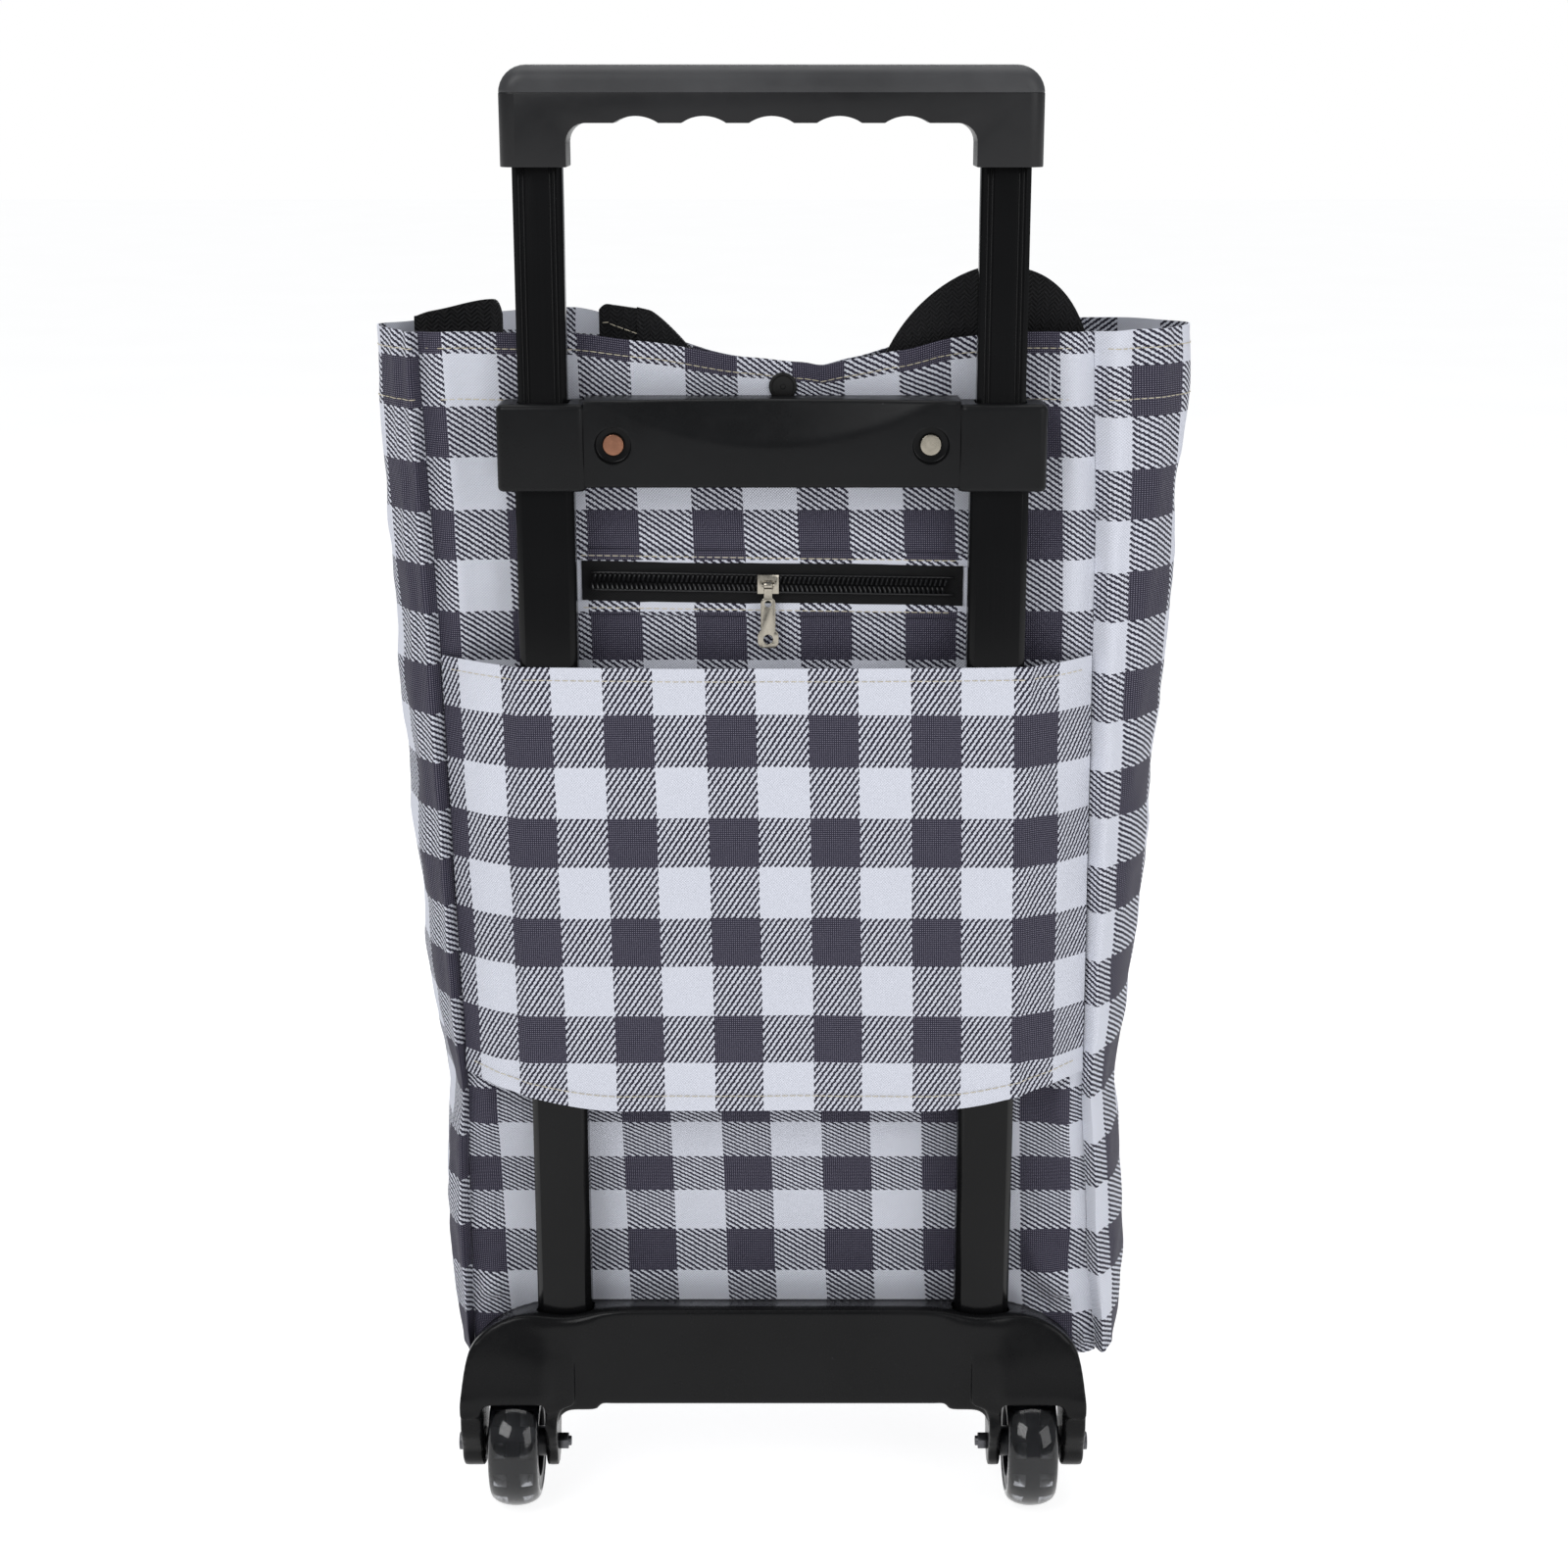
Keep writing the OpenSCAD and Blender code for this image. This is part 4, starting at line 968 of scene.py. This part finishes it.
def rowAt(pointAt, height, first, last, steps=40):
    # a line across the sheet at height(x), as (u, v) spots
    line = []
    for k in range(steps + 1):
        u = lerp(first, last, k / steps)
        line.append((u, level(pointAt, height(pointAt(u, 0.97)[0]), u)))
    return line


def folds(x, z, seed, size, reach):
    return size * noise.noise(Vector((x / reach, z / reach, seed)))


mouthLine = [(-95, 590.5), (-59, 585.5), (-10, 579), (14, 576.6), (23, 574.8), (37, 577.4), (59, 581.8),
             (84, 587.4), (112, 590.5)]


def topEdge(x):
    return along(mouthLine, x) + 0.9 * noise.noise(Vector((x / 40, 3.1, 0.4)))


def backPoint(u, v):
    c = cloth
    z = lerp(c["floor"], c["top"], v)
    left, right = along(leftSeam, z), along(rightSeam, z)
    x = lerp(left, right, u)
    z = lerp(c["floor"], topEdge(x), v)
    fromSeam = min(x - left, right - x)
    rolled = c["seamRoll"] * bump1(fromSeam, 0, 3.2) - c["seamDip"] * bump1(fromSeam, 11, 6)
    between = ease((z - 108) / 30) * (1 - ease((z - 490) / 22))
    outside = ease((abs(x) - 126) / 8)
    wave = folds(x, z, 1.5, c["wave"], 34) + folds(x, z, 7.2, 1.0, 13)
    wave = wave * max(between, outside) * 0.8        # free between beam and crossbar, and past the tubes
    corner = math.hypot(x - c["pullX"], z - c["pullZ"])
    pull = math.atan2(z - c["pullZ"], c["pullX"] - x)
    rays = c["rays"] * math.sin(pull * 15 + 0.6) * bump1(corner, 55, 42) * ease((x - 118) / 15)
    low = folds(x, z * 0.35, 3.3, 2.6, 22) * ease((abs(x) - 116) / 12) * (1 - ease((z - 180) / 60))
    crease = -c["creaseDeep"] * bump1(x + 0.35 * z, 175, 5) * ease((x - 118) / 6) * (1 - ease((z - 230) / 40))
    wave *= 1 - (1 - ease((abs(x) - 92) / 8)) * ease((z - 440) / 10)
    slack = c["slack"] * ease((208 - z) / 45) * ease((z - 104) / 40)
    y = c["back"] + rolled - max(-1.2, wave) * 0.9 + rays + low + crease + slack
    y -= c["hemLift"] * ease((z - topEdge(x) + c["hem"] + 1) / 2)
    if y > c["boardY"]:                  # stays clear of the floor board when that is folded up
        y = c["boardY"] + c["boardRoom"] * (1 - math.exp((c["boardY"] - y) / c["boardRoom"]))
    limit = 12.15 if z > 505 or abs(x) > 120 and z > 108 else 8.6
    if z < 104 and abs(x) < 158:
        limit = 12.5
    keepBehind = limit if abs(x) < 130 or z < 104 else 4.0
    return (x, max(keepBehind, y), z)


def backWeave(z, x):
    # slack below the sleeve, so more cloth hangs in the same height, and drawn down at the snap
    dip = (cloth["top"] - topEdge(x)) * ease((z - 535) / 40)
    return z + dip - 0.27 * max(0.0, 213.0 - z) + 0.2 * max(0.0, 150.0 - z)


backShift = (-27.7, -495.8)
backSheet = clothSheet("bag_back_panel_cloth", 104, 170, backPoint, shift=backShift, inner=lining,
                       heightOf=backWeave, runOf=backRun)
hangs(backSheet, "bag_back_panel")


def mouthRows(pointAt, flip, first=0.01, last=0.99):
    return [(pointAt, flip, rowAt(pointAt, lambda x: topEdge(x) - 7.5, first, last)),
            (pointAt, flip, rowAt(pointAt, lambda x: topEdge(x) - cloth["hem"], first, last))]


def lipTop(u, v):
    # the back panel's surface brought up to the zip lips' own
    x, y, z = backPoint(u, v)
    return (x, zipParts["stitchY"], z + zipLine(x) - zipParts["middleZ"])


def zipRow(z):
    return (lipTop, False, rowAt(backPoint, lambda x: z, zipParts["stitchLeft"], zipParts["stitchRight"], 30))


backSewing = sewing("hem_stitches_back", mouthRows(backPoint, False))
zipSewing = sewing("zip_stitches", [zipRow(zipParts["middleZ"] + zipParts["stitchTop"]),
                                    zipRow(zipParts["middleZ"] - zipParts["stitchLow"])])


def zipLip(name, low, high):
    # cloth folded under beside the zip
    def point(u, v):
        end = zipParts["half"] + zipParts["lipOver"]
        x = lerp(-end, end, u)
        z = lerp(low, high, v)
        folded = math.sin(math.pi * v) ** 0.5
        z += zipLine(x) - zipParts["middleZ"] + 0.3 * math.sin(x / 26)
        return (x, zipParts["tapeY"] - zipParts["lipFold"] * folded + 0.2 * folds(x, z, 2.0, 1.0, 12), z)
    lip = clothSheet(name, 80, 8, point, shift=(-24.2, -495.8), thick=0.6, runOf=backRun)
    return dress(lip, checked, "gingham_cloth", "frame")


lips = [zipLip("zip_lip_upper", 482.5, 488.5), zipLip("zip_lip_lower", 457.0, 463.5)]


def tapePoint(u, v):
    x = lerp(-zipParts["half"], zipParts["half"], u)
    z = zipLine(x) + lerp(-0.5, 0.5, v) * zipParts["tapeHigh"]
    return (x, zipParts["tapeY"] + 0.15 * math.sin(x / 9) + 0.12 * bump1(v, 0.5, 0.12), z)


tape = clothSheet("zip_tape_cloth", 90, 12, tapePoint, thick=0.5)
dress(tape, zipTape, "zip_tape", "frame", "zip_tape")
print("back panel done")


# the sleeve holds the bag to the tubes
sleeve = {"top": 437, "low": 213.5, "lowCorner": 226, "front": -9.4, "turn": 122, "seamY": 13.6,
          "inset": 0.6, "hemTop": 6.5, "hemLow": 8, "hemLift": 0.35, "sag": 1.5, "cornerRound": 2.2}


def sleevePoint(u, v):
    s = sleeve
    middle = lerp(s["low"], s["top"], v)
    x = lerp(along(leftSeam, middle) + s["inset"], along(rightSeam, middle) - s["inset"], u)
    low = lerp(s["low"], s["lowCorner"], ease((abs(x) - 70) / 85) ** 1.2)
    top = s["top"] + 1.2 * ease((abs(x) - 118) / 30) - 1.0 * math.cos(math.pi * x / 240) ** 2
    z = lerp(low, top, v)
    edge = (along(rightSeam, middle) if x > 0 else -along(leftSeam, middle)) - s["inset"]
    out = (abs(x) - s["turn"]) / (edge - s["turn"])
    flank = lerp(s["front"], s["seamY"], max(0.0, out))
    corner = s["cornerRound"] * bump1(abs(x), s["turn"], 9)
    flank = flank + corner * 0.55 - 2.2 * math.sin(math.pi * min(1.0, max(0.0, out))) * ease(out * 2)
    sag = s["sag"] * math.cos(math.pi * x / 170) ** 2 if abs(x) < 85 else 0.0
    y = flank + sag + folds(x, z * 0.5, 4.4, 0.9, 26) * ease((abs(x) - 60) / -40 + 1)
    y += folds(x, z * 0.6, 9.1, 1.6, 18) * ease(out * 3)
    lowHem, topHem = 1 - ease((z - low - s["hemLow"]) / 1.5), ease((z - top + s["hemTop"]) / 1.5)
    y -= s["hemLift"] * lowHem + s["hemLift"] * topHem
    overTube = 88 < abs(x) < 121.5
    return (x, min(s["front"] + 0.1, y) if overTube else y, z)


sleeveSheet = clothSheet("sleeve_panel_cloth", 110, 76, sleevePoint, shift=(16.8, 0.0), turned=True,
                         inner=lining, heightOf=lambda z, x: (z - 300.6) * 0.967)
hangs(sleeveSheet, "sleeve_panel")
sleeveRows = [(sleevePoint, False, [(lerp(0.015, 0.985, k / 50), v) for k in range(51)])
              for v in (0.035, 0.972)]
sleeveSewing = sewing("sleeve_stitches", sleeveRows)
print("sleeve done")


# gussets, front and bottom: the front's corners run from the floor in to the drawn-up mouth
bagFront = {"depth": 167.5, "bulge": 8, "pinch": 18.5, "mouthX": 142, "mouthY": 92, "floorX": 150,
            "shoulder": 8.5, "swell": 2.5, "wave": 5.0}
gusset = {"low": 72.5, "lip": 6.5, "pleat": 4.5, "wave": 3.2, "wide": 130, "sway": 3, "rise": 1.2,
          "dentZ": 213, "dentLeft": 5, "dentRight": 2}


def frontCorner(s):
    t = ease((s - 0.4) / 0.6)
    return (lerp(bagFront["floorX"], bagFront["mouthX"], t), lerp(bagFront["depth"], bagFront["mouthY"], t))


def gussetPoint(side):
    seam = leftSeam if side < 0 else rightSeam
    outline = leftOut if side < 0 else rightOut

    def point(u, v):
        # a curve from the back seam out to the outline and in to the front's corner
        g = gusset
        z = lerp(g["low"], cloth["top"], v)
        seamX, seamY = along(seam, z), cloth["seamY"] - 0.4
        cornerX, cornerY = frontCorner(v)
        cornerX *= side
        pull = (along(outline, z) - 0.125 * (seamX + cornerX)) / 0.75
        weights = ((1 - u) ** 3, 3 * (1 - u) ** 2 * u, 3 * (1 - u) * u * u, u ** 3)
        x = sum(w * at for w, at in zip(weights, (seamX, pull, pull, cornerX)))
        y = sum(w * at for w, at in zip(weights, (seamY, lerp(-2, 6, v), cornerY * 0.72, cornerY)))
        y -= g["lip"] * bump1(u, 0.055, 0.05)
        arch = math.sin(math.pi * u)
        pleat = g["pleat"] * math.sin(2 * math.pi * (u * 1.35 + 0.1 * math.sin(v * 3 + side))) * arch
        x -= side * pleat * (0.35 + 0.65 * v) * ease(u * 6 - 1.2)
        way = u * g["wide"]
        wave = folds(way, z, 5.0 + side, g["wave"], 40) + folds(way, z, 8.0 + side, 1.4, 15)
        wave *= ease(u * 9) * ease((1 - u) * 9)
        x += side * wave * 0.8
        y += wave * 0.3
        dent = bump1(z, g["dentZ"], 26) * bump1(u, 0.25, 0.22)
        x -= side * dent * (g["dentLeft"] if side < 0 else g["dentRight"])
        y += g["sway"] * math.sin(math.pi * v * 2.2) * arch
        z += g["rise"] * arch * ease((v - 0.8) / 0.2)
        return (x, y, z + 1.2 * folds(way, 0, 2.0 + side, 1.0, 30) * ease((v - 0.9) / 0.1))
    return point


def frontPoint(u, v):
    f = bagFront
    t = lerp(-1, 1, u)
    cornerX, cornerY = frontCorner(v)
    middleY = lerp(f["depth"] + f["bulge"], f["pinch"], ease((v - 0.55) / 0.45))
    x = t * cornerX
    shoulder = f["shoulder"] * bump1(t, -0.68, 0.3) * ease((v - 0.75) / 0.25)
    z = lerp(cloth["floor"], topEdge(x) - 1 + shoulder * 0.9, v)
    y = lerp(cornerY, middleY, math.cos(math.pi / 2 * t) ** 2)
    swell = f["swell"] * math.sin(math.pi * v * 0.9) * math.cos(math.pi / 2 * t)
    wave = folds(x, z, 6.1, f["wave"], 48) + folds(x, z, 2.7, 2.0, 18)
    wave *= ease((1 - abs(t)) * 6) * (1 - 0.8 * bump1(v, 1.0, 0.12) * bump1(t, 0, 0.3))
    return (x, y + swell + wave * 0.9, z)


def bottomPoint(u, v):
    x = lerp(-151, 151, u)
    edge = bagFront["depth"] + bagFront["bulge"] * math.cos(math.pi / 2 * (2 * u - 1)) ** 2
    y = lerp(15.8, edge - 1.2, v)
    sag = 1.0 * noise.noise(Vector((x / 30, y / 30, 4.0)))
    return (x, y, 70.7 + min(0.8, max(-0.6, sag)) * math.sin(math.pi * v))


def flattens(piece):
    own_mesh(piece)


def hemInside(name, pointAt, flip, cols, shift, anchor):
    # the mouth's edge folded to the inside, checked side out
    def point(u, v):
        height = lerp(topEdge(pointAt(u, 1)[0]) - cloth["hem"], pointAt(u, 1)[2] - 0.2, v)
        at = level(pointAt, height, u)
        return Vector(pointAt(u, at)) - normalAt(pointAt, u, at, flip) * (cloth["thick"] + 0.15)
    strip = clothSheet(name, cols, 8, point, anchor=anchor, shift=shift, flip=not flip, thick=0.5)
    return dress(strip, checked, "gingham_cloth", "frame")


def buildBag():
    pieces = []
    for side, word in ((-1, "left"), (1, "right")):
        point = gussetPoint(side)
        flip = side < 0
        shift = (12.1, -567.0) if side < 0 else (22.4, -562.7)
        run = rolledMirror if side < 0 else rolledRun
        sheet = clothSheet("bag_gusset_" + word + "_cloth", 56, 130, point, anchor=0.0, shift=shift,
                           flip=flip, inner=lining, runOf=run)
        hangs(sheet, "bag_gusset_" + word)
        hem = hemInside("hem_inside_" + word, point, flip, 40, shift, 0.0)
        rows = sewing("hem_stitches_" + word, mouthRows(point, flip, 0.03, 0.97))
        pieces += [sheet, hem, rows]
    front = clothSheet("bag_front_panel_cloth", 96, 150, frontPoint, shift=(4.0, -497.0), flip=True,
                       inner=lining, runOf=mirrorRun)
    hangs(front, "bag_front_panel")
    hem = hemInside("hem_inside_front", frontPoint, True, 70, (28.0, -475.0), 0.5)
    rows = sewing("hem_stitches_front", mouthRows(frontPoint, True))
    bottom = clothSheet("bag_bottom_panel_cloth", 70, 40, bottomPoint, shift=(2.0, 0.0), flip=True,
                        inner=lining, upAxis=1)
    hangs(bottom, "bag_bottom_panel")
    for piece in pieces + [front, hem, rows, bottom]:
        flattens(piece)


buildBag()
hemInside("hem_inside_back", backPoint, False, 80, backShift, 0.5)


def liningPoint(u, v):
    x = lerp(-96, 96, u)
    z = lerp(260, 460, v)
    return (x, 15.0 + 0.5 * (1 + noise.noise(Vector((x / 30, z / 30, 1.0)))) * math.sin(math.pi * v), z)


pouch = clothSheet("pouch_lining_cloth", 50, 50, liningPoint)
dress(pouch, lining, "lining_cloth", "frame", "pouch_lining")
print("bag sewn")


strap = {"wide": 38, "thick": 1.5, "archX": 98, "archZ": 553, "archHalf": 52, "archHigh": 67,
         "archY": 16.9, "squareRight": 0.74, "slopeLeft": 1.25, "flapLeft": -167.5, "flapRight": -128,
         "flapLow": 545, "flapTop": 596.5, "flapRise": 6, "flapY": 47.5,
         "endLeft": -81, "endRight": -60, "endLow": 562, "endTop": 602, "endY": 31.0, "endTurn": 0.24,
         "turnLeft": -63, "turnRight": -36, "turnLow": 556, "turnTop": 600.5, "turnY": 26.5,
         "turnTurn": 0.22}


def archPoint(u, v):
    # the carrying loop stands up behind the mouth and leans as it turns over
    s = strap
    q = math.pi * lerp(1.0, 0.0, u)
    inner = s["wide"] * v
    full = s["squareRight"] if math.cos(q) > 0 else s["slopeLeft"]
    swing = math.copysign(abs(math.cos(q)) ** full, math.cos(q))
    x = s["archX"] + (s["archHalf"] - inner) * swing + 3.0 * math.sin(q)
    z = s["archZ"] + (s["archHigh"] - inner) * math.sin(q)
    y = s["archY"] + 1.4 + 1.1 * math.cos(q) + 1.2 * math.sin(3 * q) * (1 - v)
    return (x, max(15.8, y), z)


def flapPoint(u, v):
    # the left loop lies folded over, one edge rising above the mouth
    s = strap
    x = lerp(s["flapLeft"], s["flapRight"], u)
    roll = bump1(u, 0.0, 0.09)
    drop = 7 * max(0.0, (u - 0.88) / 0.12) ** 2.5
    top = s["flapTop"] + s["flapRise"] * ease(u * 1.1) - drop - 1.5 * roll
    z = lerp(s["flapLow"], top, v)
    y = s["flapY"] - 5.5 * bump1(u, 0.02, 0.12) + 2.0 * math.sin(math.pi * u) - 2.2 * ease((u - 0.85) / 0.15)
    return (x - 1.5 * roll, y, z)


def endPoint(u, v):
    # the stitched end, its top turned back over the front panel's hem
    s = strap
    x = lerp(s["endLeft"], s["endRight"], u)
    way = x - s["endLeft"]
    rounded = 3.0 * (1 - min(1.0, way / 4)) ** 2
    z = lerp(s["endLow"], s["endTop"], v) - 0.12 * way - rounded * v
    return (x, s["endY"] - s["endTurn"] * way + 1.2 * math.sin(math.pi * v), z)


def turnPoint(u, v):
    s = strap
    x = lerp(s["turnLeft"], s["turnRight"], u)
    way = x - s["turnLeft"]
    z = lerp(s["turnLow"], s["turnTop"], v) - s["turnTurn"] * way - 15 * max(0.0, (way - 6) / 21) ** 1.3
    return (x, s["turnY"] - s["turnTurn"] * way + 0.8 * math.sin(math.pi * u), z)


def buildStraps():
    thick = strap["thick"]
    arch = clothSheet("strap_right_webbing", 72, 20, archPoint, thick=thick, flip=True)
    dress(arch, webbing, "webbing", "frame", "strap_right")
    flap = clothSheet("strap_left_webbing", 40, 24, flapPoint, thick=thick, anchor=0.0)
    dress(flap, webbing, "webbing", "frame", "strap_left")
    end = clothSheet("strap_left_end", 24, 24, endPoint, thick=thick, anchor=0.0)
    dress(end, webbing, "webbing", "frame")
    turn = clothSheet("strap_left_turn", 20, 24, turnPoint, thick=thick, anchor=0.0)
    dress(turn, webbing, "webbing", "frame")
    across = [(lerp(0.06, 0.94, k / 20), lerp(0.80, 0.70, k / 20)) for k in range(21)]
    ends = sewing("strap_end_stitches", [(endPoint, False, across)])
    for piece in (flap, end, turn, ends):
        flattens(piece)


buildStraps()
print("straps done")


studio = {"lens": 58.5, "sensor": 36, "x": 5.5, "y": -1174.7, "z": 701.4, "pitch": 15.4,
          "floor": 30.0, "floorGlow": 0.86, "skyLight": 0.32, "backdrop": 1.0}
lamps = {"key_light": ((-1.3, -1.9, 2.2), (0, 0, 0.4), (1.6, 1.2), 30),        # place, aim, size, power
         "fill_light": ((1.7, -1.7, 1.3), (0, 0, 0.35), (1.4, 1.4), 15),
         "top_light": ((0, 0.3, 2.6), (0, 0, 0.3), (2.4, 1.6), 26),
         "rear_light": ((0, 2.4, 1.8), (0, 0, 0.4), (2.0, 1.2), 14)}


def areaLight(name, spot, aim, size, power):
    lamp = bpy.data.lights.new(name, "AREA")
    lamp.shape = "RECTANGLE"
    lamp.size, lamp.size_y = size
    lamp.energy = power
    light = linked(name, lamp)
    light.location = spot
    light.rotation_euler = (Vector(aim) - Vector(spot)).to_track_quat("-Z", "Y").to_euler()


def buildStudio():
    scene = bpy.context.scene
    clearSelection()
    bpy.ops.mesh.primitive_plane_add(size=studio["floor"], location=(0, 0, 0))
    floor = bpy.context.object
    floor.name = "studio_floor"
    n = Nodes("floor_paper")
    tone = n.mixed(n.ranged(n.grain(3, 2.0), 0.0, 1.0), (0.34, 0.34, 0.34), (0.38, 0.38, 0.38))
    floor.data.materials.append(n.finish(tone, 0.8, Emission_Color=(1, 1, 1, 1),
                                         Emission_Strength=studio["floorGlow"]))
    world = bpy.data.worlds.new("studio_world")
    scene.world = world
    world.use_nodes = True
    links = world.node_tree
    ground = links.nodes["Background"]
    ground.inputs["Color"].default_value = (0.93, 0.96, 1.0, 1.0)
    ground.inputs["Strength"].default_value = studio["skyLight"]
    backdrop = links.nodes.new("ShaderNodeBackground")
    backdrop.inputs["Color"].default_value = (1, 1, 1, 1)
    backdrop.inputs["Strength"].default_value = studio["backdrop"]
    seen = links.nodes.new("ShaderNodeLightPath")
    blend = links.nodes.new("ShaderNodeMixShader")
    links.links.new(seen.outputs["Is Camera Ray"], blend.inputs[0])
    links.links.new(ground.outputs[0], blend.inputs[1])
    links.links.new(backdrop.outputs[0], blend.inputs[2])
    links.links.new(blend.outputs[0], links.nodes["World Output"].inputs["Surface"])
    for name, (spot, aim, size, power) in lamps.items():
        areaLight(name, spot, aim, size, power)
    lens = bpy.data.cameras.new("main_camera")
    lens.lens = studio["lens"]
    lens.sensor_width = studio["sensor"]
    camera = linked("main_camera", lens)
    camera.location = place(studio["x"], studio["y"], studio["z"])
    camera.rotation_euler = (math.radians(90 - studio["pitch"]), 0, 0)
    scene.camera = camera
    scene.view_settings.view_transform = "Standard"
    print("studio ready")


buildStudio()
